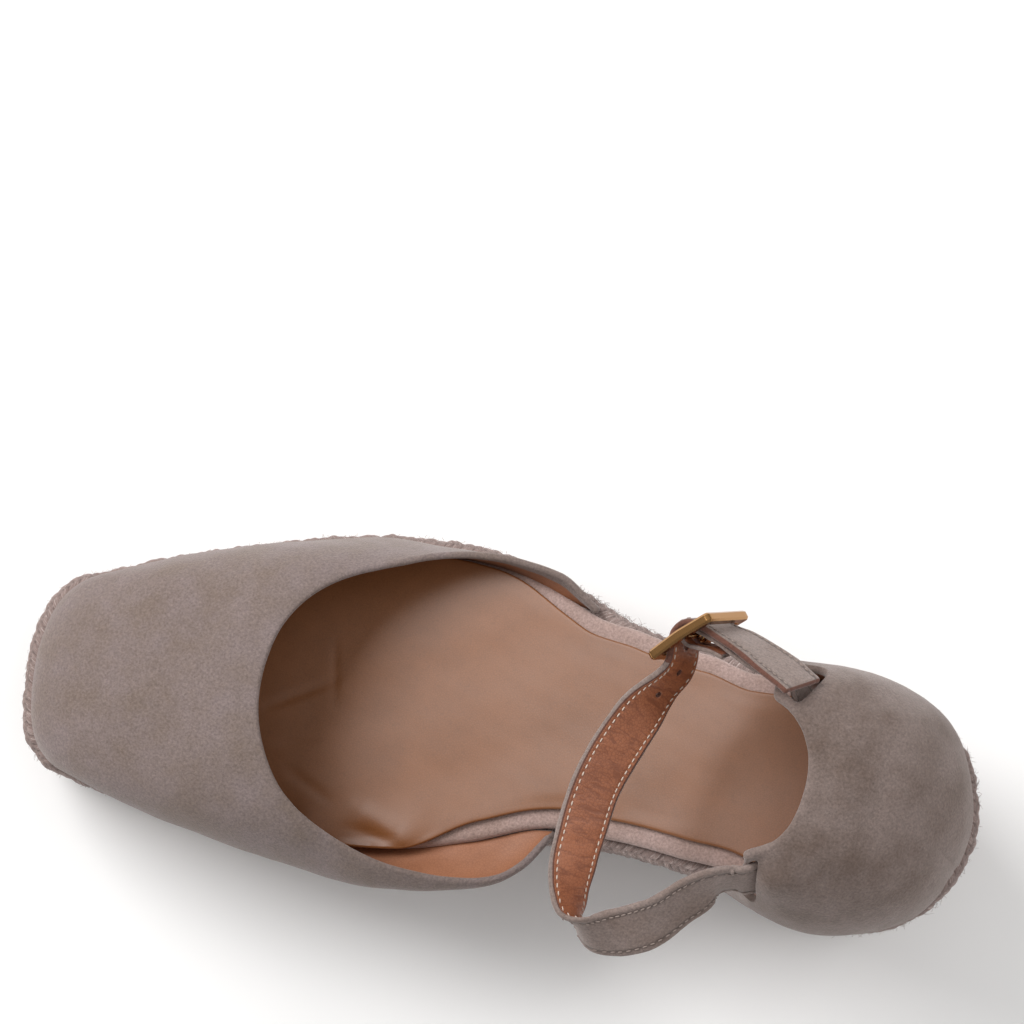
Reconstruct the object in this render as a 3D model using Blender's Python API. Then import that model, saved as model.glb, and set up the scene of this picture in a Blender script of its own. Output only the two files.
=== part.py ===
"""Right wedge espadrille: rope wedge sole, suede vamp and heel counter, ankle strap with a buckle.

Lengths in the tables are millimetres. x runs from the back of the heel to the toe, y from the
outer side (negative) to the inner side (positive) of a right shoe, z up from the floor.
"""
import bmesh
import bpy
import numpy as np

MM = 0.001

# Sole
GAP = 0.3
OUTSOLE = 4.0
PLATFORM = 16.5
PLATFORM_COURSES = 3
WEDGE_COURSE = 6.5
ROPE_BULGE = 1.1
WEDGE_TIP_X = 160.0
BALL_X = 175.0
HEEL_TAPER = 3.5
BOARD = 4.2
SOCK = 1.5

# Upper
WALL = 1.8
UPPER_INSET = 1.5
END_INSET = 1.3
BOARD_INSET = UPPER_INSET + WALL + 3 * GAP
SOCK_INSET = BOARD_INSET + 4.6
OUTER_EASE = 2.4
INNER_EASE = 1.2
OUTER_BALL_EASE = 3.3
INNER_BALL_EASE = 4.9

# Straps and buckle
STRAP_WIDTH = 13.6
STRAP_THICK = 1.8
STRAP_SEAT = 0.54
STRAP_RISE = 3.2
LOOP_SEAT = 0.60
LOOP_RISE = 2.7
LOOP_WIDTH = 10.8
LOOP_THICK = 1.2
FRAME_CENTRE = (77.1, -31.0, 99.0)
FRAME_ALONG = (-0.63, -0.57, 0.525)
FRAME_ACROSS = (0.50, 0.22, 0.84)
FRAME_LENGTH = 19.2
FRAME_WIDTH = 19.6
FRAME_RAIL = 2.6
FRAME_BEND = 0.05
FRAME_THICK = 2.4
BAR_WIDTH = 1.6
BAR_DROP = 1.2
BAR_THICK = 1.2

# Rope edge of the footbed: x, outer y, inner y
EDGE_ROWS = (
    (3.0, -13.4, 13.2),
    (10.0, -23.2, 23.0),
    (20.0, -29.5, 29.2),
    (34.0, -32.6, 31.4),
    (48.0, -32.8, 28.6),
    (61.0, -32.6, 24.6),
    (75.0, -33.6, 22.0),
    (90.0, -37.0, 20.8),
    (105.0, -43.5, 22.0),
    (120.0, -49.2, 27.6),
    (136.0, -51.7, 32.2),
    (152.0, -51.5, 34.4),
    (168.0, -49.1, 34.4),
    (183.0, -45.0, 33.2),
    (198.0, -40.2, 31.4),
    (212.0, -35.2, 29.4),
    (225.0, -29.2, 27.0),
    (234.5, -24.9, 24.0),
    (240.6, -16.8, 15.6),
)
HEEL_POINT = (0.0, 0.0)
TOE_POINT = (243.0, -3.0)

# Top of the rope platform along the foot: x, z
PROFILE_ROWS = (
    (-20.0, 69.5),
    (0.0, 68.0),
    (30.0, 64.5),
    (60.0, 56.5),
    (90.0, 44.0),
    (120.0, 32.0),
    (150.0, 23.6),
    (175.0, 20.5),
    (205.0, 21.6),
    (243.0, 28.0),
    (263.0, 32.5),
)

# Vamp ribs: foot side, foot x, top x, y, z, out and up of the foot handle, out and up of the top handle
VAMP_ROWS = (
    (-1, 101.0, 101.5, -39.2, 43.2, 0.0, 1.0, 0.0, -1.0),
    (-1, 112.0, 112.3, -44.3, 43.5, 0.2, 3.0, 0.4, -2.0),
    (-1, 130.0, 128.0, -46.2, 44.0, 0.2, 6.0, 1.0, -4.0),
    (-1, 150.0, 145.0, -43.2, 46.0, 0.2, 9.0, 2.5, -4.0),
    (-1, 172.0, 159.6, -38.1, 49.5, 0.2, 11.0, 6.5, -4.0),
    (-1, 196.0, 170.7, -30.4, 53.5, 0.2, 12.0, 13.5, -3.5),
    (-1, 221.0, 177.6, -20.0, 57.0, 0.3, 12.0, 21.0, -4.0),
    (-1, 237.0, 180.2, -9.0, 58.4, 0.4, 12.0, 27.0, -5.0),
    (1, 242.0, 180.2, 0.0, 58.6, 1.0, 13.0, 28.0, -5.0),
    (1, 236.0, 178.2, 8.5, 58.2, 1.2, 12.0, 26.0, -5.0),
    (1, 219.0, 173.6, 17.5, 56.6, 4.0, 11.0, 21.0, -4.0),
    (1, 195.0, 167.0, 24.6, 54.0, 6.5, 9.0, 15.5, -4.5),
    (1, 173.0, 156.4, 30.8, 50.5, 8.0, 8.0, 11.0, -6.0),
    (1, 152.0, 144.0, 34.6, 47.8, 8.5, 7.0, 8.5, -6.0),
    (1, 133.0, 130.0, 36.0, 46.2, 8.0, 6.0, 5.0, -5.0),
    (1, 118.0, 116.5, 34.0, 44.8, 5.5, 4.5, 3.0, -3.5),
    (1, 109.0, 108.6, 29.0, 43.6, 2.8, 2.5, 1.2, -2.0),
    (1, 102.0, 102.8, 20.6, 42.8, 0.4, 1.2, 0.4, -1.0),
)

# Heel counter ribs, same columns
COUNTER_ROWS = (
    (1, 58.5, 56.0, 19.6, 107.4, 6.5, 16.0, 3.8, -15.0),
    (1, 46.0, 53.2, 17.6, 108.6, 8.0, 15.0, 11.5, -9.0),
    (1, 34.0, 50.4, 14.6, 110.0, 8.0, 15.0, 15.5, -2.5),
    (1, 20.0, 48.0, 10.8, 111.0, 6.0, 17.0, 19.0, -1.5),
    (1, 7.0, 46.4, 5.6, 111.8, 3.5, 22.0, 23.0, -1.0),
    (-1, 0.5, 45.8, -0.6, 112.0, 2.0, 23.0, 25.0, -1.0),
    (-1, 7.0, 46.4, -6.4, 112.2, 2.5, 23.0, 22.5, -1.0),
    (-1, 20.0, 48.4, -11.2, 112.0, 2.5, 22.0, 18.5, -1.0),
    (-1, 34.0, 50.6, -14.2, 111.6, 2.5, 22.0, 15.0, -1.5),
    (-1, 46.0, 53.2, -16.8, 110.6, 2.0, 20.0, 13.0, -4.0),
    (-1, 57.0, 56.4, -19.0, 108.8, 1.5, 17.0, 11.5, -6.0),
)

# Slots of the counter: front and back in rib steps from the front edge, inner side then outer side,
# and the bottom and top of both as rise fractions
SLOT_SPANS = (
    (0.20, 1.30),
    (0.45, 2.00),
)
SLOT_LOW = 0.55
SLOT_HIGH = 0.945

# Mesh steps
VAMP_STEPS = 3
VAMP_LEVELS = 9

# Ankle strap from the inner slot round the front to the buckle:
# x, y, z of the middle, then the direction from its lower to its upper edge
FRONT_ROWS = (
    (63.2, 27.0, 98.8, -0.07, -0.60, 0.79),
    (68.8, 31.8, 97.6, -0.03, -0.76, 0.65),
    (75.6, 38.2, 96.4, 0.00, -0.82, 0.57),
    (83.3, 42.0, 94.4, 0.06, -0.78, 0.62),
    (89.6, 43.0, 92.9, 0.20, -0.52, 0.83),
    (94.2, 40.2, 92.0, 0.46, -0.16, 0.87),
    (96.0, 34.6, 91.6, 0.66, 0.08, 0.75),
    (96.4, 28.6, 91.4, 0.79, 0.18, 0.58),
    (95.8, 20.4, 91.3, 0.85, 0.18, 0.48),
    (93.9, 7.2, 91.4, 0.88, 0.19, 0.43),
    (91.5, 0.0, 91.6, 0.92, 0.10, 0.39),
    (88.3, -7.6, 92.2, 0.90, 0.16, 0.40),
    (83.9, -16.2, 92.7, 0.74, 0.12, 0.66),
)

# Ankle strap through the buckle: along the frame, out from the frame, below its middle, lean inwards
THROUGH_ROWS = (
    (-9.6, -4.8, 0.0, -0.16),
    (-7.2, -3.3, 0.0, -0.05),
    (-4.7, -0.4, 0.0, 0.0),
    (-2.6, 1.9, 0.0, 0.0),
    (0.0, 2.7, 0.0, 0.0),
    (2.7, 1.9, 0.0, 0.0),
    (4.7, -0.4, 0.0, 0.05),
    (7.1, -4.0, 0.2, 0.13),
    (9.6, -7.7, 0.4, 0.28),
)

# Free end past the buckle, columns as FRONT_ROWS
FREE_ROWS = (
    (59.8, -27.2, 107.6, 0.24, 0.54, 0.81),
    (53.8, -23.6, 110.8, 0.29, 0.55, 0.78),
    (50.9, -21.6, 112.2, 0.30, 0.55, 0.78),
)

# Both straps at the slots, from inside the counter to the front end, where each has its own rise:
# rib steps back from the slot's front end, distance out from the counter's wall
SLOT_ROWS = (
    (2.05, -3.6),
    (1.55, -3.6),
    (1.1, -3.0),
    (0.7, -1.0),
    (0.35, 2.0),
)
SLOT_MOUTH = 0.05

# Buckle strap in the frame, from the slot side round the middle bar and back, columns as THROUGH_ROWS
LOOP_ROWS = (
    (10.4, -13.8, 2.0, 0.46),
    (8.0, -9.4, 0.8, 0.30),
    (5.6, -4.8, 0.2, 0.10),
    (3.2, -1.5, 0.0, 0.0),
    (1.5, 0.6, 0.0, 0.0),
    (0.0, 0.9, 0.0, 0.0),
    (-1.4, 0.5, 0.0, 0.0),
    (-1.8, -0.7, 0.0, 0.0),
    (-1.3, -2.2, 0.0, 0.0),
    (0.6, -4.0, 0.0, 0.0),
    (3.2, -6.0, 0.0, 0.1),
    (5.6, -8.9, 0.2, 0.2),
)

# Prong, from its hook on the middle bar to the front bar
PRONG_ROWS = (
    (0.1, -2.1),
    (1.3, -1.9),
    (1.7, -0.8),
    (1.1, 0.5),
    (-0.8, 0.85),
    (-4.0, 1.2),
    (-7.0, 1.5),
    (-10.2, 1.5),
)


def smooth(rows, t, closed=False):
    """Catmull-Rom curve through rows at the parameters t, a row per whole number."""
    rows = np.asarray(rows, float)
    count = len(rows)
    t = np.asarray(t, float)
    i = np.floor(t).astype(int)
    if not closed:
        i = np.clip(i, 0, count - 2)
    f = (t - i)[:, None]
    steps = [i - 1, i, i + 1, i + 2]
    if closed:
        p0, p1, p2, p3 = (rows[k % count] for k in steps)
    else:
        p0, p1, p2, p3 = (rows[np.clip(k, 0, count - 1)] for k in steps)
        p0 = np.where((i == 0)[:, None], 2 * p1 - p2, p0)
        p3 = np.where((i == count - 2)[:, None], 2 * p2 - p1, p3)
    m1 = 0.5 * (p2 - p0)
    m2 = 0.5 * (p3 - p1)
    h = 2 * f ** 3 - 3 * f ** 2
    return (1 + h) * p1 - h * p2 + (f ** 3 - 2 * f ** 2 + f) * m1 + (f ** 3 - f ** 2) * m2


def unit(v):
    v = np.asarray(v, float)
    return v / np.linalg.norm(v, axis=-1, keepdims=True)


def ramp(x, start, end):
    f = np.clip((x - start) / (end - start), 0.0, 1.0)
    return f * f * (3 - 2 * f)


OUTER = [(x, y) for x, y, _ in EDGE_ROWS]
INNER = [(x, y) for x, _, y in EDGE_ROWS]
EDGE = np.array([HEEL_POINT, *OUTER, TOE_POINT, *reversed(INNER)])
HALF = len(EDGE) // 2
PROFILE = smooth(PROFILE_ROWS, np.linspace(0, len(PROFILE_ROWS) - 1, 400))


def top_z(x):
    """Height of the platform's top."""
    return np.interp(x, PROFILE[:, 0], PROFILE[:, 1])


def sole_z(x):
    """Height of the outsole's underside, flat up to the ball and sprung at the toe."""
    return np.where(x > BALL_X, np.maximum(top_z(x) - PLATFORM - OUTSOLE, 0.0), 0.0)


def under_z(x):
    """Height of the platform's underside."""
    return np.where(x > WEDGE_TIP_X, sole_z(x) + OUTSOLE + GAP, top_z(x) - PLATFORM)


def edge(t, inset):
    """Points of the footbed edge at parameters t, moved inwards, and their outward directions."""
    here = smooth(EDGE, t, closed=True)
    ahead = smooth(EDGE, t + 0.02, closed=True) - smooth(EDGE, t - 0.02, closed=True)
    out = unit(np.stack([ahead[:, 1], -ahead[:, 0]], -1))
    return here - out * np.broadcast_to(inset, t.shape)[:, None], out


def end_inset(t, base):
    """Inset that grows towards the toe and the heel."""
    x = smooth(EDGE, t, closed=True)[:, 0]
    return base + END_INSET * (ramp(x, 224.0, 240.0) + ramp(x, 12.0, 1.0))


def waist_ease(t):
    """How much nearer to the edge the footbed lies between vamp and counter, on each side."""
    x = smooth(EDGE, t, closed=True)[:, 0]
    side = np.where(np.mod(t, 2 * HALF) < HALF, OUTER_EASE, INNER_EASE)
    return side * ramp(x, 60.0, 72.0) * ramp(x, 100.0, 88.0)


def ball_ease(t):
    """How much nearer to the edge the sock lies inside the vamp, on each side."""
    x = smooth(EDGE, t, closed=True)[:, 0]
    outer = np.mod(t, 2 * HALF) < HALF
    return ramp(x, 215.0, 190.0) * np.where(
        outer, OUTER_BALL_EASE * ramp(x, 98.0, 128.0), INNER_BALL_EASE * ramp(x, 118.0, 140.0)
    )


def edge_at(side, x):
    """Parameter of the footbed edge at x on one side."""
    rows = np.array([HEEL_POINT, *OUTER, TOE_POINT])
    t = np.interp(x, rows[:, 0], np.arange(len(rows)))
    return t if side < 0 else 2 * HALF - t


def solid(name, verts, faces, material):
    """Object from millimetre points, welded and facing out."""
    mesh = bpy.data.meshes.new(name)
    mesh.from_pydata([tuple(v) for v in np.asarray(verts) * MM], [], faces)
    obj = bpy.data.objects.new(name, mesh)
    bpy.context.collection.objects.link(obj)
    obj.data.materials.append(material)
    bm = bmesh.new()
    bm.from_mesh(mesh)
    bmesh.ops.remove_doubles(bm, verts=bm.verts, dist=1e-6)
    bmesh.ops.dissolve_degenerate(bm, edges=bm.edges, dist=1e-7)
    bmesh.ops.triangulate(bm, faces=bm.faces)
    bmesh.ops.recalc_face_normals(bm, faces=bm.faces)
    bm.to_mesh(mesh)
    bm.free()
    return obj


def plate(name, front, back, open_cells, material):
    """Solid between two grids of points; open_cells are left out as holes."""
    rows, cols = front.shape[:2]
    half = rows * cols
    faces = []
    rims = {}
    for i in range(rows - 1):
        for j in range(cols - 1):
            if (i, j) in open_cells:
                continue
            cell = (i * cols + j, i * cols + j + 1, (i + 1) * cols + j + 1, (i + 1) * cols + j)
            faces.append(cell)
            faces.append(tuple(half + v for v in reversed(cell)))
            for k in range(4):
                step = (cell[k], cell[(k + 1) % 4])
                key = tuple(sorted(step))
                rims[key] = None if key in rims else step
    for a, b in filter(None, rims.values()):
        faces.append((b, a, half + a, half + b))
    verts = np.concatenate([front.reshape(-1, 3), back.reshape(-1, 3)])
    return solid(name, verts, faces, material)


def stack(name, rings, material):
    """Solid from closed rings, bottom to top, capped across by pairs of columns."""
    n = len(rings[0])
    faces = []
    for k in range(len(rings) - 1):
        for i in range(n):
            j = (i + 1) % n
            faces.append((k * n + i, k * n + j, (k + 1) * n + j, (k + 1) * n + i))
    last = (len(rings) - 1) * n
    for i in range(n // 2 - 1):
        a, b, c, d = i, i + 1, n - 2 - i, n - 1 - i
        faces.append((d, c, b, a))
        faces.append((last + a, last + b, last + c, last + d))
    return solid(name, np.concatenate(rings), faces, material)


def ring(t, inset, height):
    """Ring of the footbed edge, moved inwards, at a height that is a function of x."""
    flat, _ = edge(t, inset)
    return np.column_stack([flat, height(flat[:, 0])])


def columns(count):
    return (np.arange(count) + 0.5) * 2 * HALF / count


def low_inset(t):
    """Inset of the wedge's foot, deeper towards the heel."""
    x = smooth(EDGE, t, closed=True)[:, 0]
    return 0.8 + HEEL_TAPER * np.clip(under_z(x) - OUTSOLE, 0.0, None) / 50.0


def build_outsole(material):
    t = columns(96)
    inset = low_inset(t) + 0.5
    rings = [
        ring(t, inset + 0.8, sole_z),
        ring(t, inset, lambda x: sole_z(x) + 0.8),
        ring(t, inset, lambda x: sole_z(x) + OUTSOLE),
    ]
    return stack("outsole", rings, material)


def build_platform(material):
    t = columns(104)
    x = smooth(EDGE, t, closed=True)[:, 0]
    low = under_z(x)
    high = top_z(x)
    rings = []
    levels = PLATFORM_COURSES * 2
    for k in range(levels + 1):
        share = k / levels
        bulge = ROPE_BULGE if k % 2 else 0.0
        flat, _ = edge(t, ROPE_BULGE + 0.8 * (1 - share) - bulge)
        rings.append(np.column_stack([flat, low + (high - low) * share]))
    return stack("jute_midsole", rings, material)


def build_wedge(material):
    start = edge_at(-1, WEDGE_TIP_X - 6.0)
    end = edge_at(1, WEDGE_TIP_X - 6.0)
    t = np.linspace(start, end - 2 * HALF, 70)
    x = smooth(EDGE, t, closed=True)[:, 0]
    roof = top_z(x) - PLATFORM - GAP
    foot = OUTSOLE + GAP
    count = int(np.ceil((roof.max() - foot) / (WEDGE_COURSE / 2)))
    rings = []
    for k in range(count + 1):
        z = np.minimum(foot + k * WEDGE_COURSE / 2, roof)
        bulge = ROPE_BULGE * np.abs(np.sin(np.pi * (z - foot) / WEDGE_COURSE))
        inset = 0.8 + ROPE_BULGE + HEEL_TAPER * (roof - z) / 50.0 - bulge
        flat, _ = edge(t, inset)
        rings.append(np.column_stack([flat, z]))
    return stack("jute_wedge", rings, material)


def build_board(material):
    t = columns(96)
    inset = end_inset(t, BOARD_INSET) - waist_ease(t)
    lift = GAP
    rings = [
        ring(t, inset + 0.7, lambda x: top_z(x) + lift),
        ring(t, inset, lambda x: top_z(x) + lift + 0.9),
        ring(t, inset, lambda x: top_z(x) + lift + BOARD - 1.8),
        ring(t, inset + 0.6, lambda x: top_z(x) + lift + BOARD - 0.7),
        ring(t, inset + 2.0, lambda x: top_z(x) + lift + BOARD),
    ]
    return stack("insole_board", rings, material)


def build_sock(material):
    t = columns(96)
    inset = end_inset(t, SOCK_INSET) - waist_ease(t) - ball_ease(t)
    lift = GAP + BOARD + GAP
    rings = [
        ring(t, inset, lambda x: top_z(x) + lift),
        ring(t, inset, lambda x: top_z(x) + lift + SOCK - 0.5),
        ring(t, inset + 0.6, lambda x: top_z(x) + lift + SOCK),
    ]
    return stack("insole_sock", rings, material)


def rib_points(rows, a, b):
    """Outer points of an upper at rib steps a and rise fractions b, as a grid."""
    handles = []
    for side, foot_x, x, y, z, out0, up0, out1, up1 in rows:
        t = np.array([edge_at(side, foot_x)])
        flat, out = edge(t, end_inset(t, UPPER_INSET))
        foot = np.array([*flat[0], float(top_z(flat[0, 0])) + GAP])
        out = np.array([*out[0], 0.0])
        top = np.array([x, y, z])
        up = np.array([0.0, 0.0, 1.0])
        handles.append([t[0], *(out0 * out + up0 * up), *top, *(out1 * out + up1 * up)])
    handles = np.array(handles)
    if handles[0, 0] > handles[-1, 0]:
        handles[:, 0] = np.where(handles[:, 0] > HALF, handles[:, 0] - 2 * HALF, handles[:, 0])
    row = smooth(handles, a)
    flat, _ = edge(row[:, 0], end_inset(row[:, 0], UPPER_INSET))
    foot = np.column_stack([flat, top_z(flat[:, 0]) + GAP])
    top = row[:, 4:7]
    h0 = foot + row[:, 1:4]
    h1 = top + row[:, 7:10]
    f = np.asarray(b, float)[None, :, None]
    g = 1 - f
    foot, h0, h1, top = (p[:, None, :] for p in (foot, h0, h1, top))
    return g ** 3 * foot + 3 * g * g * f * h0 + 3 * g * f * f * h1 + f ** 3 * top


def facing(grid):
    """Unit normals of a grid of points."""
    along = np.gradient(grid, axis=0)
    rise = np.gradient(grid, axis=1)
    return unit(np.cross(along, rise))


def shell(name, grid, open_cells, material):
    """Wall of even thickness on a grid of outer points."""
    normal = facing(grid)
    normal[:, 0, 2] = 0.0
    normal[:, 0] = unit(normal[:, 0])
    return plate(name, grid, grid - normal * WALL, open_cells, material)


def build_vamp(material):
    a = np.linspace(0, len(VAMP_ROWS) - 1, (len(VAMP_ROWS) - 1) * VAMP_STEPS + 1)
    grid = rib_points(VAMP_ROWS, a, np.linspace(0, 1, VAMP_LEVELS))
    return shell("vamp", grid, set(), material)


def counter_grid():
    """Rib steps, rise fractions and outer points of the counter, with lines along its slots."""
    last = len(COUNTER_ROWS) - 1
    inner = [0.0, *np.linspace(*SLOT_SPANS[0], 5)]
    outer = [last, *(last - np.linspace(*SLOT_SPANS[1], 5))]
    middle = np.linspace(inner[-1], outer[-1], 20)[1:-1]
    a = np.array([*inner, *middle, *reversed(outer)])
    low = np.linspace(0, SLOT_LOW, 7)
    mid = np.linspace(SLOT_LOW, SLOT_HIGH, 5)[1:]
    b = np.array([*low, *mid, 1.0])
    return a, b, rib_points(COUNTER_ROWS, a, b)


def in_slot(a, b):
    """Whether the wall is cut away at a rib step and a rise fraction."""
    last = len(COUNTER_ROWS) - 1
    inner, outer = SLOT_SPANS
    along = inner[0] < a < inner[1] or outer[0] < last - a < outer[1]
    return along and SLOT_LOW < b < SLOT_HIGH


def build_counter(material):
    a, b, grid = counter_grid()
    mid_a = (a[:-1] + a[1:]) / 2
    mid_b = (b[:-1] + b[1:]) / 2
    cells = [(i, j) for i in range(len(mid_a)) for j in range(len(mid_b))]
    open_cells = {(i, j) for i, j in cells if in_slot(mid_a[i], mid_b[j])}
    return shell("heel_counter", grid, open_cells, material)


def beside_counter(a, out, seat):
    """Middle and across direction of a strap at a rib step and a share of the slot's height, moved out."""
    near = np.array([a - 0.05, a, a + 0.05])
    patch = rib_points(COUNTER_ROWS, near, np.array([SLOT_LOW, 0.5 * (SLOT_LOW + SLOT_HIGH), SLOT_HIGH]))
    normal = facing(patch)[1, 1]
    chord = patch[1, 2] - patch[1, 0]
    return [*(patch[1, 0] + chord * seat + normal * out), *unit(chord)]


def buckle_axes():
    along = unit(FRAME_ALONG)
    across = np.asarray(FRAME_ACROSS)
    across = unit(across - along * np.dot(across, along))
    return along, across, np.cross(across, along)


def in_buckle(along, out, drop=0.0, lean=0.0):
    """Row of a strap in the buckle, given along, out from and below the middle of the frame."""
    d, w, n = buckle_axes()
    return [*(np.asarray(FRAME_CENTRE) + d * along + n * out - w * drop), *unit(w - n * lean)]


def along_rows(rows, spacing):
    """Curve through unevenly spaced rows, sampled evenly; also the row number of each sample."""
    rows = np.asarray(rows, float)
    step = np.linalg.norm(np.diff(rows[:, :3], axis=0), axis=1)
    at = np.concatenate([[0.0], np.cumsum(step)])
    slope = np.diff(rows, axis=0) / step[:, None]
    ratio = (step[:-1] / (step[:-1] + step[1:]))[:, None]
    inside = slope[:-1] * (1 - ratio) + slope[1:] * ratio
    slopes = np.concatenate([slope[:1], inside, slope[-1:]])
    s = np.linspace(0.0, at[-1], int(at[-1] / spacing) + 1)
    i = np.clip(np.searchsorted(at, s, side="right") - 1, 0, len(step) - 1)
    f = ((s - at[i]) / step[i])[:, None]
    h = 2 * f ** 3 - 3 * f ** 2
    lead = (f ** 3 - 2 * f ** 2 + f) * slopes[i] * step[i][:, None]
    trail = (f ** 3 - f ** 2) * slopes[i + 1] * step[i][:, None]
    return (1 + h) * rows[i] - h * rows[i + 1] + lead + trail, i + f[:, 0]


def band(name, rows, spacing, width, thick, slots, material):
    """Flat strap swept along rows; slots are spans of row numbers left open along the middle."""
    path, t = along_rows(rows, spacing)
    mid = path[:, :3]
    tangent = unit(np.gradient(mid, axis=0))
    across = path[:, 3:]
    across = unit(across - tangent * np.sum(across * tangent, axis=1, keepdims=True))
    normal = np.cross(tangent, across)[:, None, :]
    places = np.array([-0.5, -0.14, 0.14, 0.5]) * width
    grid = mid[:, None, :] + across[:, None, :] * places[None, :, None]
    centres = 0.5 * (t[:-1] + t[1:])
    open_cells = {(i, 1) for i, c in enumerate(centres) if any(lo < c < hi for lo, hi in slots)}
    return plate(name, grid + normal * thick / 2, grid - normal * thick / 2, open_cells, material)


def build_ankle_strap(material):
    places = [*SLOT_ROWS, (SLOT_MOUTH, STRAP_RISE)]
    rows = [beside_counter(SLOT_SPANS[0][0] + back, out, STRAP_SEAT) for back, out in places]
    rows += [list(r) for r in FRONT_ROWS]
    first = len(rows)
    rows += [in_buckle(*r) for r in THROUGH_ROWS]
    rows += [list(r) for r in FREE_ROWS]
    return band("ankle_strap", rows, 2.0, STRAP_WIDTH, STRAP_THICK, [(first + 1.6, first + 3.8)], material)


def build_buckle_strap(material):
    front = len(COUNTER_ROWS) - 1 - SLOT_SPANS[1][0]
    places = [*SLOT_ROWS, (SLOT_MOUTH, LOOP_RISE)]
    rows = [beside_counter(front - back, out, LOOP_SEAT) for back, out in places]
    first = len(rows)
    rows += [in_buckle(*r) for r in LOOP_ROWS]
    return band("buckle_strap", rows, 1.4, LOOP_WIDTH, LOOP_THICK, [(first + 2.6, first + 9.4)], material)


def build_frame(material):
    d, w, n = buckle_axes()
    reach = FRAME_LENGTH / 2
    along = np.array([-reach, FRAME_RAIL - reach, -BAR_WIDTH / 2, BAR_WIDTH / 2, reach - FRAME_RAIL, reach])
    side = FRAME_WIDTH / 2
    across = np.array([-side, FRAME_RAIL - side, side - FRAME_RAIL, side])
    drop = np.abs(along) * FRAME_BEND
    centre = np.asarray(FRAME_CENTRE)
    grid = (
        centre
        + along[:, None, None] * d
        + across[None, :, None] * w
        - drop[:, None, None] * n
    )
    front = grid + n * FRAME_THICK / 2
    back = grid - n * FRAME_THICK / 2
    front[2:4, 1:3] -= n * BAR_DROP
    back[2:4, 1:3] = front[2:4, 1:3] - n * BAR_THICK
    open_cells = {(1, 1), (3, 1)}
    return plate("buckle_frame", front, back, open_cells, material)


def build_prong(material):
    rows = [in_buckle(*r) for r in PRONG_ROWS]
    return band("buckle_prong", rows, 0.8, 2.2, 1.0, [], material)


def material(name, colour, roughness, metallic):
    mat = bpy.data.materials.new(name)
    mat.use_nodes = True
    shader = mat.node_tree.nodes["Principled BSDF"]
    shader.inputs["Base Color"].default_value = (*colour, 1.0)
    shader.inputs["Roughness"].default_value = roughness
    shader.inputs["Metallic"].default_value = metallic
    return mat


def main():
    for old in list(bpy.data.objects):
        bpy.data.objects.remove(old, do_unlink=True)
    suede = material("taupe_suede", (0.27, 0.20, 0.18), 0.95, 0.0)
    pieces = [
        build_outsole(material("crepe_rubber", (0.20, 0.14, 0.10), 0.7, 0.0)),
        build_platform(material("platform_jute", (0.30, 0.22, 0.19), 0.95, 0.0)),
        build_wedge(material("wedge_jute", (0.28, 0.21, 0.18), 0.95, 0.0)),
        build_board(material("board_suede", (0.38, 0.27, 0.23), 0.95, 0.0)),
        build_sock(material("sock_leather", (0.38, 0.22, 0.14), 0.5, 0.0)),
        build_vamp(suede),
        build_counter(material("counter_suede", (0.20, 0.15, 0.13), 0.95, 0.0)),
        build_ankle_strap(material("strap_suede", (0.28, 0.22, 0.20), 0.95, 0.0)),
        build_buckle_strap(material("loop_suede", (0.28, 0.22, 0.20), 0.95, 0.0)),
        build_frame(material("frame_brass", (0.70, 0.50, 0.28), 0.2, 1.0)),
        build_prong(material("prong_brass", (0.70, 0.50, 0.28), 0.2, 1.0)),
    ]
    points = np.array([v.co for piece in pieces for v in piece.data.vertices])
    low = points.min(axis=0)
    high = points.max(axis=0)
    for piece in pieces:
        piece.location = (-(low[0] + high[0]) / 2, -(low[1] + high[1]) / 2, -low[2])


main()
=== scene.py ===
"""Looks of a right wedge espadrille: rope sole, napped suede upper, stitched strap and gilt buckle.

Lengths in the tables are millimetres. x runs from the back of the heel to the toe, y from the
outer side (negative) to the inner side (positive), z up from the floor.
"""
import math

import bmesh
import bpy
import numpy as np
from bpy.props import FloatProperty, FloatVectorProperty, PointerProperty
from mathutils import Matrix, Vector


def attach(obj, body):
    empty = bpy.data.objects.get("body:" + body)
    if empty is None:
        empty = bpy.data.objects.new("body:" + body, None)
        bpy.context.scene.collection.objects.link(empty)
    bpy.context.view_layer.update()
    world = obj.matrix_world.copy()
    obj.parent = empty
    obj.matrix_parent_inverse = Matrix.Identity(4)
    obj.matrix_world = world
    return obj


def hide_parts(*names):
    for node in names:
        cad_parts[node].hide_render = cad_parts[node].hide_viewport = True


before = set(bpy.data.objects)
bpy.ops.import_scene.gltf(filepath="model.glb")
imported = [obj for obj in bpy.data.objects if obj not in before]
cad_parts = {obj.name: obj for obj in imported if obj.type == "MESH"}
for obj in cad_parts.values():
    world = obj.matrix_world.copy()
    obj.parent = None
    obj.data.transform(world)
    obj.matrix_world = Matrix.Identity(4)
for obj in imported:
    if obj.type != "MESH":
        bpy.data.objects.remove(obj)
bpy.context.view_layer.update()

bl_info = {
    "name": "Wedge espadrille",
    "version": (1, 0, 0),
    "blender": (4, 5, 0),
    "location": "View3D > Sidebar > Espadrille",
    "description": "Builds the looks of a wedge espadrille around its solids",
    "category": "Object",
}

MM = 0.001

# Where the solids' origin lies in the tables, the middle of the shoe's box
ORIGIN = np.array([121.5176, -1.9072, 0.0])

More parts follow.
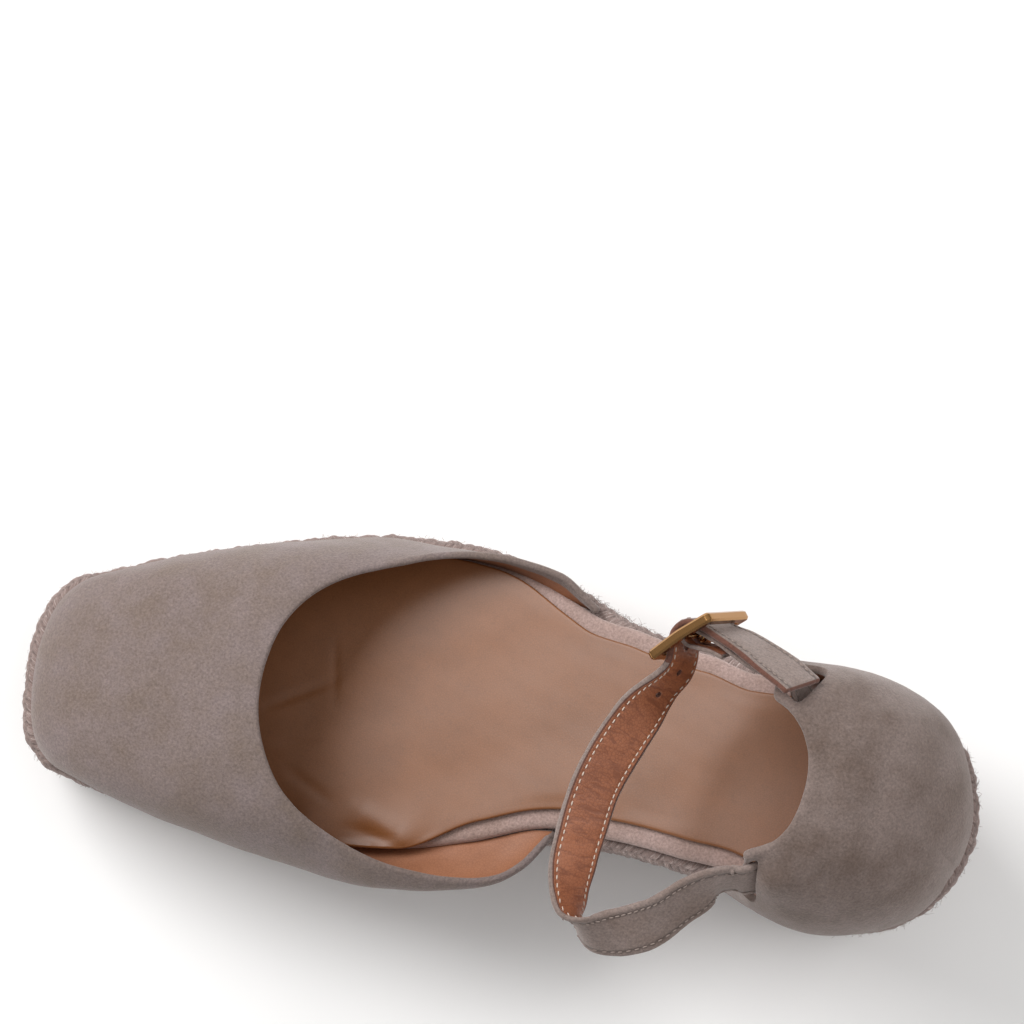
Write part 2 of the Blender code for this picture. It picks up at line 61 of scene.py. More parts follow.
# Sole
GAP = 0.3
OUTSOLE = 4.0
PLATFORM = 16.5
PLATFORM_COURSES = 3
WEDGE_COURSE = 6.5
WEDGE_TIP_X = 160.0
BALL_X = 175.0
HEEL_TAPER = 3.5
TAPER_HEIGHT = 50.0
COURSE_INSET = 0.8
BOARD = 4.2
SOCK = 1.5

# Upper
WALL = 1.8
UPPER_INSET = 1.5
END_INSET = 1.3
BOARD_INSET = UPPER_INSET + WALL + 3 * GAP
SOCK_INSET = BOARD_INSET + 4.6
OUTER_EASE = 2.4
INNER_EASE = 1.2
OUTER_BALL_EASE = 3.3
INNER_BALL_EASE = 4.9

# Where the insets and eases set in along the foot: x at the start and at the end of each ramp
TOE_END = (224.0, 240.0)
HEEL_END = (12.0, 1.0)
WAIST_BACK = (60.0, 72.0)
WAIST_FRONT = (100.0, 88.0)
OUTER_BALL_BACK = (98.0, 128.0)
INNER_BALL_BACK = (118.0, 140.0)
BALL_FRONT = (215.0, 190.0)

# Straps and buckle
STRAP_WIDTH = 13.6
STRAP_THICK = 1.8
STRAP_SEAT = 0.54
STRAP_RISE = 3.2
LOOP_SEAT = 0.60
LOOP_RISE = 2.7
LOOP_WIDTH = 10.8
LOOP_THICK = 1.2
FRAME_CENTRE = (77.1, -31.0, 99.0)
FRAME_ALONG = (-0.63, -0.57, 0.525)
FRAME_ACROSS = (0.50, 0.22, 0.84)
FRAME_LENGTH = 19.2
FRAME_WIDTH = 19.6
FRAME_RAIL = 2.6
FRAME_BEND = 0.05
FRAME_THICK = 2.4
BAR_WIDTH = 1.6
BAR_DROP = 1.2
BAR_THICK = 1.2

# Rope edge of the footbed: x, outer y, inner y
EDGE_ROWS = (
    (3.0, -13.4, 13.2),
    (10.0, -23.2, 23.0),
    (20.0, -29.5, 29.2),
    (34.0, -32.6, 31.4),
    (48.0, -32.8, 28.6),
    (61.0, -32.6, 24.6),
    (75.0, -33.6, 22.0),
    (90.0, -37.0, 20.8),
    (105.0, -43.5, 22.0),
    (120.0, -49.2, 27.6),
    (136.0, -51.7, 32.2),
    (152.0, -51.5, 34.4),
    (168.0, -49.1, 34.4),
    (183.0, -45.0, 33.2),
    (198.0, -40.2, 31.4),
    (212.0, -35.2, 29.4),
    (225.0, -29.2, 27.0),
    (234.5, -24.9, 24.0),
    (240.6, -16.8, 15.6),
)
HEEL_POINT = (0.0, 0.0)
TOE_POINT = (243.0, -3.0)

# Top of the rope platform along the foot: x, z
PROFILE_ROWS = (
    (-20.0, 69.5),
    (0.0, 68.0),
    (30.0, 64.5),
    (60.0, 56.5),
    (90.0, 44.0),
    (120.0, 32.0),
    (150.0, 23.6),
    (175.0, 20.5),
    (205.0, 21.6),
    (243.0, 28.0),
    (263.0, 32.5),
)

# Vamp ribs: foot side, foot x, top x, y, z, out and up of the foot handle, out and up of the top handle
VAMP_ROWS = (
    (-1, 101.0, 101.5, -39.2, 43.2, 0.0, 1.0, 0.0, -1.0),
    (-1, 112.0, 112.3, -44.3, 43.5, 0.2, 3.0, 0.4, -2.0),
    (-1, 130.0, 128.0, -46.2, 44.0, 0.2, 6.0, 1.0, -4.0),
    (-1, 150.0, 145.0, -43.2, 46.0, 0.2, 9.0, 2.5, -4.0),
    (-1, 172.0, 159.6, -38.1, 49.5, 0.2, 11.0, 6.5, -4.0),
    (-1, 196.0, 170.7, -30.4, 53.5, 0.2, 12.0, 13.5, -3.5),
    (-1, 221.0, 177.6, -20.0, 57.0, 0.3, 12.0, 21.0, -4.0),
    (-1, 237.0, 180.2, -9.0, 58.4, 0.4, 12.0, 27.0, -5.0),
    (1, 242.0, 180.2, 0.0, 58.6, 1.0, 13.0, 28.0, -5.0),
    (1, 236.0, 178.2, 8.5, 58.2, 1.2, 12.0, 26.0, -5.0),
    (1, 219.0, 173.6, 17.5, 56.6, 4.0, 11.0, 21.0, -4.0),
    (1, 195.0, 167.0, 24.6, 54.0, 6.5, 9.0, 15.5, -4.5),
    (1, 173.0, 156.4, 30.8, 50.5, 8.0, 8.0, 11.0, -6.0),
    (1, 152.0, 144.0, 34.6, 47.8, 8.5, 7.0, 8.5, -6.0),
    (1, 133.0, 130.0, 36.0, 46.2, 8.0, 6.0, 5.0, -5.0),
    (1, 118.0, 116.5, 34.0, 44.8, 5.5, 4.5, 3.0, -3.5),
    (1, 109.0, 108.6, 29.0, 43.6, 2.8, 2.5, 1.2, -2.0),
    (1, 102.0, 102.8, 20.6, 42.8, 0.4, 1.2, 0.4, -1.0),
)

# Heel counter ribs, same columns
COUNTER_ROWS = (
    (1, 58.5, 56.0, 19.6, 107.4, 6.5, 16.0, 3.8, -15.0),
    (1, 46.0, 53.2, 17.6, 108.6, 8.0, 15.0, 11.5, -9.0),
    (1, 34.0, 50.4, 14.6, 110.0, 8.0, 15.0, 15.5, -2.5),
    (1, 20.0, 48.0, 10.8, 111.0, 6.0, 17.0, 19.0, -1.5),
    (1, 7.0, 46.4, 5.6, 111.8, 3.5, 22.0, 23.0, -1.0),
    (-1, 0.5, 45.8, -0.6, 112.0, 2.0, 23.0, 25.0, -1.0),
    (-1, 7.0, 46.4, -6.4, 112.2, 2.5, 23.0, 22.5, -1.0),
    (-1, 20.0, 48.4, -11.2, 112.0, 2.5, 22.0, 18.5, -1.0),
    (-1, 34.0, 50.6, -14.2, 111.6, 2.5, 22.0, 15.0, -1.5),
    (-1, 46.0, 53.2, -16.8, 110.6, 2.0, 20.0, 13.0, -4.0),
    (-1, 57.0, 56.4, -19.0, 108.8, 1.5, 17.0, 11.5, -6.0),
)

# Slots of the counter: front and back in rib steps from the front edge, inner side then outer side,
# and the bottom and top of both as rise fractions
SLOT_SPANS = (
    (0.20, 1.30),
    (0.45, 2.00),
)
SLOT_LOW = 0.55
SLOT_HIGH = 0.945

# Ankle strap from the inner slot round the front to the buckle:
# x, y, z of the middle, then the direction from its lower to its upper edge
FRONT_ROWS = (
    (63.2, 27.0, 98.8, -0.07, -0.60, 0.79),
    (68.8, 31.8, 97.6, -0.03, -0.76, 0.65),
    (75.6, 38.2, 96.4, 0.00, -0.82, 0.57),
    (83.3, 42.0, 94.4, 0.06, -0.78, 0.62),
    (89.6, 43.0, 92.9, 0.20, -0.52, 0.83),
    (94.2, 40.2, 92.0, 0.46, -0.16, 0.87),
    (96.0, 34.6, 91.6, 0.66, 0.08, 0.75),
    (96.4, 28.6, 91.4, 0.79, 0.18, 0.58),
    (95.8, 20.4, 91.3, 0.85, 0.18, 0.48),
    (93.9, 7.2, 91.4, 0.88, 0.19, 0.43),
    (91.5, 0.0, 91.6, 0.92, 0.10, 0.39),
    (88.3, -7.6, 92.2, 0.90, 0.16, 0.40),
    (83.9, -16.2, 92.7, 0.74, 0.12, 0.66),
)

# Ankle strap through the buckle: along the frame, out from the frame, below its middle, lean inwards
THROUGH_ROWS = (
    (-9.6, -4.8, 0.0, -0.16),
    (-7.2, -3.3, 0.0, -0.05),
    (-4.7, -0.4, 0.0, 0.0),
    (-2.6, 1.9, 0.0, 0.0),
    (0.0, 2.7, 0.0, 0.0),
    (2.7, 1.9, 0.0, 0.0),
    (4.7, -0.4, 0.0, 0.05),
    (7.1, -4.0, 0.2, 0.13),
    (9.6, -7.7, 0.4, 0.28),
)

# Free end past the buckle, columns as FRONT_ROWS
FREE_ROWS = (
    (59.8, -27.2, 107.6, 0.24, 0.54, 0.81),
    (53.8, -23.6, 110.8, 0.29, 0.55, 0.78),
    (50.9, -21.6, 112.2, 0.30, 0.55, 0.78),
)

# Both straps at the slots, from inside the counter to the front end, where each has its own rise:
# rib steps back from the slot's front end, distance out from the counter's wall
SLOT_ROWS = (
    (2.05, -3.6),
    (1.55, -3.6),
    (1.1, -3.0),
    (0.7, -1.0),
    (0.35, 2.0),
)
SLOT_MOUTH = 0.05

# Buckle strap in the frame, from the slot side round the middle bar and back, columns as THROUGH_ROWS
LOOP_ROWS = (
    (10.4, -13.8, 2.0, 0.46),
    (8.0, -9.4, 0.8, 0.30),
    (5.6, -4.8, 0.2, 0.10),
    (3.2, -1.5, 0.0, 0.0),
    (1.5, 0.6, 0.0, 0.0),
    (0.0, 0.9, 0.0, 0.0),
    (-1.4, 0.5, 0.0, 0.0),
    (-1.8, -0.7, 0.0, 0.0),
    (-1.3, -2.2, 0.0, 0.0),
    (0.6, -4.0, 0.0, 0.0),
    (3.2, -6.0, 0.0, 0.1),
    (5.6, -8.9, 0.2, 0.2),
)

# Prong, from its hook on the middle bar to the front bar
PRONG_ROWS = (
    (0.1, -2.1),
    (1.3, -1.9),
    (1.7, -0.8),
    (1.1, 0.5),
    (-0.8, 0.85),
    (-4.0, 1.2),
    (-7.0, 1.5),
    (-10.2, 1.5),
)

# Creases of the vamp, the sock and the counter as lines seen from above:
# x, y, x, y, half width, depth (a ridge is negative)
VAMP_CREASES = (
    (196.0, -30.0, 204.0, 22.0, 9.0, 0.5),
    (186.0, -26.0, 192.0, -8.0, 4.0, -0.25),
    (150.0, 35.0, 172.0, 34.0, 4.0, 0.45),
    (124.0, 33.0, 142.0, 38.0, 3.0, 0.4),
)
SOCK_CREASES = (
    (180.0, -1.0, 163.0, -11.0, 1.1, 0.4),
    (176.0, 8.0, 166.0, 6.0, 0.9, 0.22),
    (166.0, -20.0, 163.0, -4.0, 0.9, 0.25),
    (172.0, 14.0, 160.0, 20.0, 1.2, 0.25),
    (152.0, 21.0, 141.0, 25.0, 2.6, -0.5),
    (154.0, 26.0, 140.0, 27.5, 1.2, 0.4),
)
COUNTER_CREASES = (
    (4.0, 11.5, 13.0, 8.0, 0.8, 0.7),
    (2.0, 15.0, 12.0, 13.0, 2.0, 0.4),
    (28.0, -5.0, 30.0, 12.0, 3.0, 0.5),
    (38.0, -10.0, 40.0, 8.0, 4.0, -0.4),
    (30.0, 20.0, 44.0, 24.0, 4.0, 0.4),
    (53.5, 24.0, 44.0, 24.5, 3.2, -1.3),
    (24.0, -24.0, 44.0, -22.0, 4.0, 0.4),
)

# Camera
CAMERA_TARGET = (127.355, -59.713, 40.0)
CAMERA_AZIMUTH = 190.589
CAMERA_ELEVATION = 82.0
CAMERA_DISTANCE = 1000.0
CAMERA_LENS = 138.51
CAMERA_SENSOR = 36.0

# Softboxes and floor in metres, seen from the middle of the shoe's box
KEY_PLACE = (0.82, -0.45, 0.88)
KEY_SIZE = 0.75
BACK_PLACE = (-0.8, -0.35, 0.7)
BACK_SIZE = 0.7
LIGHT_AIM = (0.0, 0.0, 0.05)
FLOOR_HALF = 2.0
FLOOR_DROP = 0.0002


def linear(code):
    """Linear colour of an sRGB hex value."""
    parts = [int(code[i:i + 2], 16) / 255 for i in (0, 2, 4)]
    return tuple(c / 12.92 if c <= 0.04045 else ((c + 0.055) / 1.055) ** 2.4 for c in parts)


def colour(name, description, code):
    """Colour property with the default of an sRGB hex value."""
    return FloatVectorProperty(
        name=name, description=description, subtype="COLOR", size=3, min=0.0, max=1.0, default=linear(code)
    )


def length(name, description, millimetres):
    """Length property with a default in millimetres."""
    return FloatProperty(name=name, description=description, unit="LENGTH", default=millimetres * MM)


def amount(name, description, default, kind="NONE"):
    """Number property, with a kind of unit."""
    return FloatProperty(name=name, description=description, unit=kind, default=default)


class SoleSettings(bpy.types.PropertyGroup):
    """Rope and rubber of the sole"""

    rope: colour("Rope", "Colour of the jute strands", "8b7771")
    # Painted light on the rope: the highlight colour stands for painted highlights on the fibres, the gap
    # colour for painted shade between the strands
    rope_highlight: colour("Rope highlights", "Colour of the raised jute fibres", "d6c6c0")
    rope_gap_shade: colour("Rope gaps", "Colour between the jute strands", "3c2822")
    rubber: colour("Rubber", "Colour of the outsole", "6b5242")
    strand_spacing: length("Strand spacing", "Distance between two strands along a rope", 2.5)
    strand_relief: length("Strand relief", "Height of a strand above the gap beside it", 0.7)
    tread_pitch: length("Tread pitch", "Distance between two ribs of the tread", 5.0)
    tread_depth: length("Tread depth", "Depth of the grooves of the tread", 0.8)


class UpperSettings(bpy.types.PropertyGroup):
    """Suede and lining of the vamp and the counter"""

    vamp: colour("Vamp suede", "Main colour of the vamp", "7f716e")
    vamp_brown: colour("Vamp mottling", "Browner patches of the vamp", "776860")
    # The counter's colours, its mottling most, are set darker than the vamp's same suede as painted shade of
    # the side that faces away from the key light
    counter: colour("Counter suede", "Main colour of the counter", "7f706a")
    counter_brown_and_shade: colour("Counter mottling", "Browner patches of the counter", "6b5b53")
    lining: colour("Lining", "Colour of the leather lining", "9f6a4c")
    lining_dark: colour("Lining grain", "Colour in the grain of the lining", "8a5a40")


class FootbedSettings(bpy.types.PropertyGroup):
    """Board wrap and sock under the foot"""

    sock: colour("Sock", "Colour of the leather sock", "83512b")
    sock_dark: colour("Sock grain", "Colour in the grain of the sock", "734521")
    band: colour("Board wrap", "Colour of the suede round the board", "ab938c")
    band_brown: colour("Board wrap mottling", "Browner patches of the board wrap", "9d857c")
    # The welt's dark colour is painted shade of the gap between the board wrap and the rope
    welt_shade: colour("Welt", "Colour of the thin leather line below the board wrap", "6d3f2c")
    pucker: length("Pucker height", "Height of the puckers along the sock's inner edge", 0.5)


class StrapSettings(bpy.types.PropertyGroup):
    """Ankle strap and buckle strap"""

    suede: colour("Strap suede", "Colour of the outside of the straps", "8a7b75")
    suede_brown: colour("Strap mottling", "Browner patches of the straps", "7b6a62")
    inside: colour("Strap lining", "Colour of the leather on the inside", "ac6b49")
    # The inside's grain colour also serves as painted shade in the hollows of its wrinkles
    inside_dark: colour("Strap lining grain", "Colour in the grain of the inside", "8a5238")
    cut: colour("Cut edges", "Colour of the raw edges of the lining", "664439")
    thread: colour("Thread", "Colour of the stitches on the inside", "cdbcae")
    tone_thread: colour("Tonal thread", "Colour of the stitches on the suede", "8f7f77")
    stitch_pitch: length("Stitch pitch", "Distance between two stitches", 1.75)
    stitch_length: length("Stitch length", "Length of one stitch", 1.15)
    stitch_inset: length("Stitch inset", "Distance of a row of stitches from the edge", 1.8)
    hole: length("Hole diameter", "Diameter of the punched holes", 1.6)


class BuckleSettings(bpy.types.PropertyGroup):
    """Gilt buckle"""

    # The gilt colour is kept dark as a painted reflection of dark surroundings in the polished metal
    gilt: colour("Gilt", "Colour of the plating", "ab8052")
    bevel: length("Bevel", "Width of the bevels round the outside of the frame", 0.5)
    corner: length("Corner radius", "Radius of the frame's outer corners", 1.3)


class StageSettings(bpy.types.PropertyGroup):
    """Floor and light"""

    floor: colour("Floor", "Colour of the floor", "fbfaf9")
    key: amount("Key light", "Power of the softbox beyond the toe", 14.0, "POWER")
    back: amount("Back light", "Power of the softbox behind", 3.0, "POWER")
    fill: amount("Fill light", "Strength of the light from above", 0.64)
    horizon: amount("Horizon", "Strength of the light from the sides", 0.3)


class EspadrilleSettings(bpy.types.PropertyGroup):
    """Sizes and colours of the shoe"""

    sole: PointerProperty(type=SoleSettings, name="Sole", description="Rope and rubber")
    upper: PointerProperty(type=UpperSettings, name="Upper", description="Suede and lining")
    footbed: PointerProperty(type=FootbedSettings, name="Footbed", description="Board wrap and sock")
    strap: PointerProperty(type=StrapSettings, name="Straps", description="Straps and stitches")
    buckle: PointerProperty(type=BuckleSettings, name="Buckle", description="Gilt frame and prong")
    stage: PointerProperty(type=StageSettings, name="Stage", description="Floor and light")


# Curves and the form of the last

def unit(v):
    """Vectors brought to a length of 1."""
    v = np.asarray(v, float)
    return v / np.maximum(np.linalg.norm(v, axis=-1, keepdims=True), 1e-12)


UP = np.array([0.0, 0.0, 1.0])


def ramp(x, start, end):
    """Soft step from 0 at start to 1 at end."""
    f = np.clip((x - start) / (end - start), 0.0, 1.0)
    return f * f * (3 - 2 * f)


def between(start, end, lead, trail, f):
    """Cubic from start to end, with the slopes lead and trail there, at shares f."""
    h = 2 * f ** 3 - 3 * f ** 2
    return (1 + h) * start - h * end + (f ** 3 - 2 * f ** 2 + f) * lead + (f ** 3 - f ** 2) * trail


def smooth(rows, t, closed=False):
    """Catmull-Rom curve through rows at the parameters t, a row per whole number."""
    rows = np.asarray(rows, float)
    count = len(rows)
    t = np.asarray(t, float)
    i = np.floor(t).astype(int)
    if not closed:
        i = np.clip(i, 0, count - 2)
    steps = [i - 1, i, i + 1, i + 2]
    if closed:
        p0, p1, p2, p3 = (rows[k % count] for k in steps)
    else:
        p0, p1, p2, p3 = (rows[np.clip(k, 0, count - 1)] for k in steps)
        p0 = np.where((i == 0)[:, None], 2 * p1 - p2, p0)
        p3 = np.where((i == count - 2)[:, None], 2 * p2 - p1, p3)
    return between(p1, p2, 0.5 * (p2 - p0), 0.5 * (p3 - p1), (t - i)[:, None])


def run_of(points):
    """Distance along a line of points, from its start."""
    steps = np.linalg.norm(np.diff(points, axis=0), axis=1)
    return np.concatenate([[0.0], np.cumsum(steps)])


# Waves that are added up for an uneven surface
WAVES = 7


def wander(points, size, seed):
    """Smooth seeded unevenness between about -1 and 1, with humps of a size in millimetres."""
    rng = np.random.default_rng(seed)
    total = np.zeros(points.shape[:-1])
    for _ in range(WAVES):
        way = unit(rng.normal(size=3)) * rng.uniform(0.6, 1.4) * math.pi / size
        total += np.sin(points @ way + rng.uniform(0.0, 2 * math.pi))
    return total / 3.0


OUTER = [(x, y) for x, y, _ in EDGE_ROWS]
INNER = [(x, y) for x, _, y in EDGE_ROWS]
EDGE = np.array([HEEL_POINT, *OUTER, TOE_POINT, *reversed(INNER)])
HALF = len(EDGE) // 2
PROFILE = smooth(PROFILE_ROWS, np.linspace(0, len(PROFILE_ROWS) - 1, 400))


def top_z(x):
    """Height of the platform's top."""
    return np.interp(x, PROFILE[:, 0], PROFILE[:, 1])


def sole_z(x):
    """Height of the outsole's underside, flat up to the ball and sprung at the toe."""
    return np.where(x > BALL_X, np.maximum(top_z(x) - PLATFORM - OUTSOLE, 0.0), 0.0)


def under_z(x):
    """Height of the platform's underside."""
    return np.where(x > WEDGE_TIP_X, sole_z(x) + OUTSOLE + GAP, top_z(x) - PLATFORM)


def edge(t, inset):
    """Points of the footbed edge at parameters t, moved inwards, and their outward directions."""
    here = smooth(EDGE, t, closed=True)
    ahead = smooth(EDGE, t + 0.02, closed=True) - smooth(EDGE, t - 0.02, closed=True)
    out = unit(np.stack([ahead[:, 1], -ahead[:, 0]], -1))
    return here - out * np.broadcast_to(inset, t.shape)[:, None], out


def edge_x(t):
    """x of the footbed edge at parameters t."""
    return smooth(EDGE, t, closed=True)[:, 0]


def on_outer(t):
    """Whether parameters of the footbed edge lie on the outer side."""
    return np.mod(t, 2 * HALF) < HALF


def end_inset(t, base):
    """Inset that grows towards the toe and the heel."""
    x = edge_x(t)
    return base + END_INSET * (ramp(x, *TOE_END) + ramp(x, *HEEL_END))


def waist_ease(t):
    """How much nearer to the edge the footbed lies between vamp and counter, on each side."""
    x = edge_x(t)
    return np.where(on_outer(t), OUTER_EASE, INNER_EASE) * ramp(x, *WAIST_BACK) * ramp(x, *WAIST_FRONT)


def ball_ease(t):
    """How much nearer to the edge the sock lies inside the vamp, on each side."""
    x = edge_x(t)
    outer = OUTER_BALL_EASE * ramp(x, *OUTER_BALL_BACK)
    inner = INNER_BALL_EASE * ramp(x, *INNER_BALL_BACK)
    return ramp(x, *BALL_FRONT) * np.where(on_outer(t), outer, inner)


def edge_at(side, x):
    """Parameter of the footbed edge at x on one side."""
    rows = np.array([HEEL_POINT, *OUTER, TOE_POINT])
    t = np.interp(x, rows[:, 0], np.arange(len(rows)))
    return t if side < 0 else 2 * HALF - t


def low_inset(t):
    """Inset of the wedge's foot, deeper towards the heel."""
    tall = np.clip(under_z(edge_x(t)) - OUTSOLE, 0.0, None)
    return COURSE_INSET + HEEL_TAPER * tall / TAPER_HEIGHT


def even_edge(spacing, start=0.0, end=2.0 * HALF):
    """Edge parameters at an even spacing along the footbed edge."""
    t = np.linspace(start, end, 4000)
    at = run_of(smooth(EDGE, t, closed=True))
    count = 2 * int(at[-1] / spacing / 2)
    return np.interp((np.arange(count) + 0.5) / count * at[-1], at, t)


def paired_edge(count):
    """Edge parameters in pairs that face each other across the foot, even along the foot."""
    t = np.linspace(0.0, HALF, 2000)
    at = run_of(smooth(EDGE, t, closed=True))
    outer = np.interp((np.arange(count) + 0.5) / count * at[-1], at, t)
    return np.concatenate([outer, 2 * HALF - outer[::-1]])


def rib_surface(rows, a, b):
    """Outer points of an upper at grids of rib steps a and rise fractions b."""
    handles = []
    for side, foot_x, x, y, z, out0, up0, out1, up1 in rows:
        t = np.array([edge_at(side, foot_x)])
        _, out = edge(t, end_inset(t, UPPER_INSET))
        out = np.array([*out[0], 0.0])
        handles.append([t[0], *(out0 * out + up0 * UP), x, y, z, *(out1 * out + up1 * UP)])
    handles = np.array(handles)
    if handles[0, 0] > handles[-1, 0]:
        handles[:, 0] = np.where(handles[:, 0] > HALF, handles[:, 0] - 2 * HALF, handles[:, 0])
    row = smooth(handles, a.ravel())
    flat, _ = edge(row[:, 0], end_inset(row[:, 0], UPPER_INSET))
    foot = np.column_stack([flat, top_z(flat[:, 0]) + GAP])
    top = row[:, 4:7]
    h0 = foot + row[:, 1:4]
    h1 = top + row[:, 7:10]
    f = b.ravel()[:, None]
    g = 1 - f
    points = g ** 3 * foot + 3 * g * g * f * h0 + 3 * g * f * f * h1 + f ** 3 * top
    return points.reshape(*a.shape, 3)


def facing(grid):
    """Unit normals of a grid of points."""
    along = np.gradient(grid, axis=0)
    rise = np.gradient(grid, axis=1)
    return unit(np.cross(along, rise))


def creased(grid, creases, out=None):
    """Grid of points pressed in along lines seen from above."""
    out = facing(grid) if out is None else out
    depth = np.zeros(grid.shape[:2])
    for x0, y0, x1, y1, reach, deep in creases:
        start = np.array([x0, y0])
        run = np.array([x1, y1]) - start
        at = np.clip(((grid[..., :2] - start) @ run) / (run @ run), 0.0, 1.0)
        away = np.linalg.norm(grid[..., :2] - start - at[..., None] * run, axis=-1)
        depth += deep * np.exp(-(away / reach) ** 2) * np.sin(math.pi * np.clip(at, 0.04, 0.96)) ** 0.5
    return grid - out * depth[..., None]


def beside_counter(a, out, seat):
    """Middle and across direction of a strap at a rib step and a share of the slot's height, moved out."""
    near = np.array([a - 0.05, a, a + 0.05])
    levels = np.array([SLOT_LOW, 0.5 * (SLOT_LOW + SLOT_HIGH), SLOT_HIGH])
    patch = rib_surface(COUNTER_ROWS, *np.meshgrid(near, levels, indexing="ij"))
    normal = facing(patch)[1, 1]
    chord = patch[1, 2] - patch[1, 0]
    return [*(patch[1, 0] + chord * seat + normal * out), *unit(chord)]


def buckle_axes():
    """Directions along the frame, across it and out of its face."""
    along = unit(FRAME_ALONG)
    across = np.asarray(FRAME_ACROSS)
    across = unit(across - along * np.dot(across, along))
    return along, across, np.cross(across, along)


def in_buckle(along, out, drop=0.0, lean=0.0):
    """Row of a strap in the buckle, given along, out from and below the middle of the frame."""
    d, w, n = buckle_axes()
    return [*(np.asarray(FRAME_CENTRE) + d * along + n * out - w * drop), *unit(w - n * lean)]


def along_rows(rows, spacing):
    """Curve through unevenly spaced rows, sampled evenly; also the row number of each sample."""
    rows = np.asarray(rows, float)
    step = np.linalg.norm(np.diff(rows[:, :3], axis=0), axis=1)
    at = np.concatenate([[0.0], np.cumsum(step)])
    slope = np.diff(rows, axis=0) / step[:, None]
    ratio = (step[:-1] / (step[:-1] + step[1:]))[:, None]
    inside = slope[:-1] * (1 - ratio) + slope[1:] * ratio
    slopes = np.concatenate([slope[:1], inside, slope[-1:]])
    s = np.linspace(0.0, at[-1], int(at[-1] / spacing) + 1)
    i = np.clip(np.searchsorted(at, s, side="right") - 1, 0, len(step) - 1)
    f = ((s - at[i]) / step[i])[:, None]
    lead, trail = (slopes[k] * step[i][:, None] for k in (i, i + 1))
    return between(rows[i], rows[i + 1], lead, trail, f), i + f[:, 0]


# Meshes

def piece(name, parts, materials, node=None):
    """Object from lists of points, faces, material numbers and point fields, welded and facing out."""
    points = np.concatenate([p["points"].reshape(-1, 3) for p in parts])
    starts = np.cumsum([0] + [p["points"].size // 3 for p in parts])
    faces = [tuple(int(v) + s for v in f) for p, s in zip(parts, starts) for f in p["faces"]]
    picks = np.concatenate([np.broadcast_to(p.get("picks", 0), len(p["faces"])) for p in parts])
    mesh = bpy.data.meshes.new(name)
    mesh.from_pydata(((points - ORIGIN) * MM).tolist(), [], faces)
    for material in materials:
        mesh.materials.append(material)
    mesh.polygons.foreach_set("material_index", picks.astype(np.int32))
    for field in sorted({k for p in parts for k in p.get("fields", {})}):
        values = [np.ravel(p.get("fields", {}).get(field, np.zeros(p["points"].size // 3))) for p in parts]
        data = mesh.attributes.new(field, "FLOAT", "POINT").data
        data.foreach_set("value", np.concatenate(values).astype(np.float32))
    bm = bmesh.new()
    bm.from_mesh(mesh)
    bmesh.ops.remove_doubles(bm, verts=bm.verts, dist=1e-6)
    bmesh.ops.dissolve_degenerate(bm, edges=bm.edges, dist=1e-7)
    bmesh.ops.recalc_face_normals(bm, faces=bm.faces)
    bm.to_mesh(mesh)
    bm.free()
    mesh.shade_smooth()
    made = bpy.data.objects.new(name, mesh)
    bpy.context.scene.collection.objects.link(made)
    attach(made, "root")
    if node:
        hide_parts(node)
    return made


def quads(rows, cols, start=0, wrap_rows=False, wrap_cols=False):
    """Corner numbers of the cells of a grid of points."""
    number = start + np.arange(rows * cols).reshape(rows, cols)
    if wrap_rows:
        number = np.concatenate([number, number[:1]])
    if wrap_cols:
        number = np.concatenate([number, number[:, :1]], axis=1)
    corners = [number[:-1, :-1], number[:-1, 1:], number[1:, 1:], number[1:, :-1]]
    return np.stack(corners, -1)


def tube(path, side, up, section, closed=False, fields=None):
    """Sweep of a section, one for all of the path or one for each of its points."""
    section = np.broadcast_to(section, (len(path), *np.shape(section)[-2:]))
    points = path[:, None] + side[:, None] * section[..., :1] + up[:, None] * section[..., 1:]
    rows, cols = points.shape[:2]
    faces = quads(rows, cols, wrap_rows=closed, wrap_cols=True).reshape(-1, 4).tolist()
    if not closed:
        faces += [list(range(cols)), list(range((rows - 1) * cols, rows * cols))]
    return {"points": points, "faces": faces, "fields": fields or {}}


# Steps of the quarter round at the edge of a sheet
LIP_STEPS = 3


def lipped(cells, axis):
    """Grid with quarter-round lips past both ends of an axis. Channel 6 is half the thickness."""
    rows = np.moveaxis(cells, axis, 0)
    turn = np.linspace(0.0, math.pi / 2, LIP_STEPS + 1)[1:, None, None]
    lips = []
    for near, behind in ((rows[0], rows[1]), (rows[-1], rows[-2])):
        lip = np.repeat(near[None], LIP_STEPS, axis=0)
        lip[..., :3] += unit(near[:, :3] - behind[:, :3]) * near[:, 6:7] * np.sin(turn)
        lip[..., 6:7] *= np.cos(turn)
        lips.append(lip)
    return np.moveaxis(np.concatenate([lips[0][::-1], rows, lips[1]]), 0, axis)


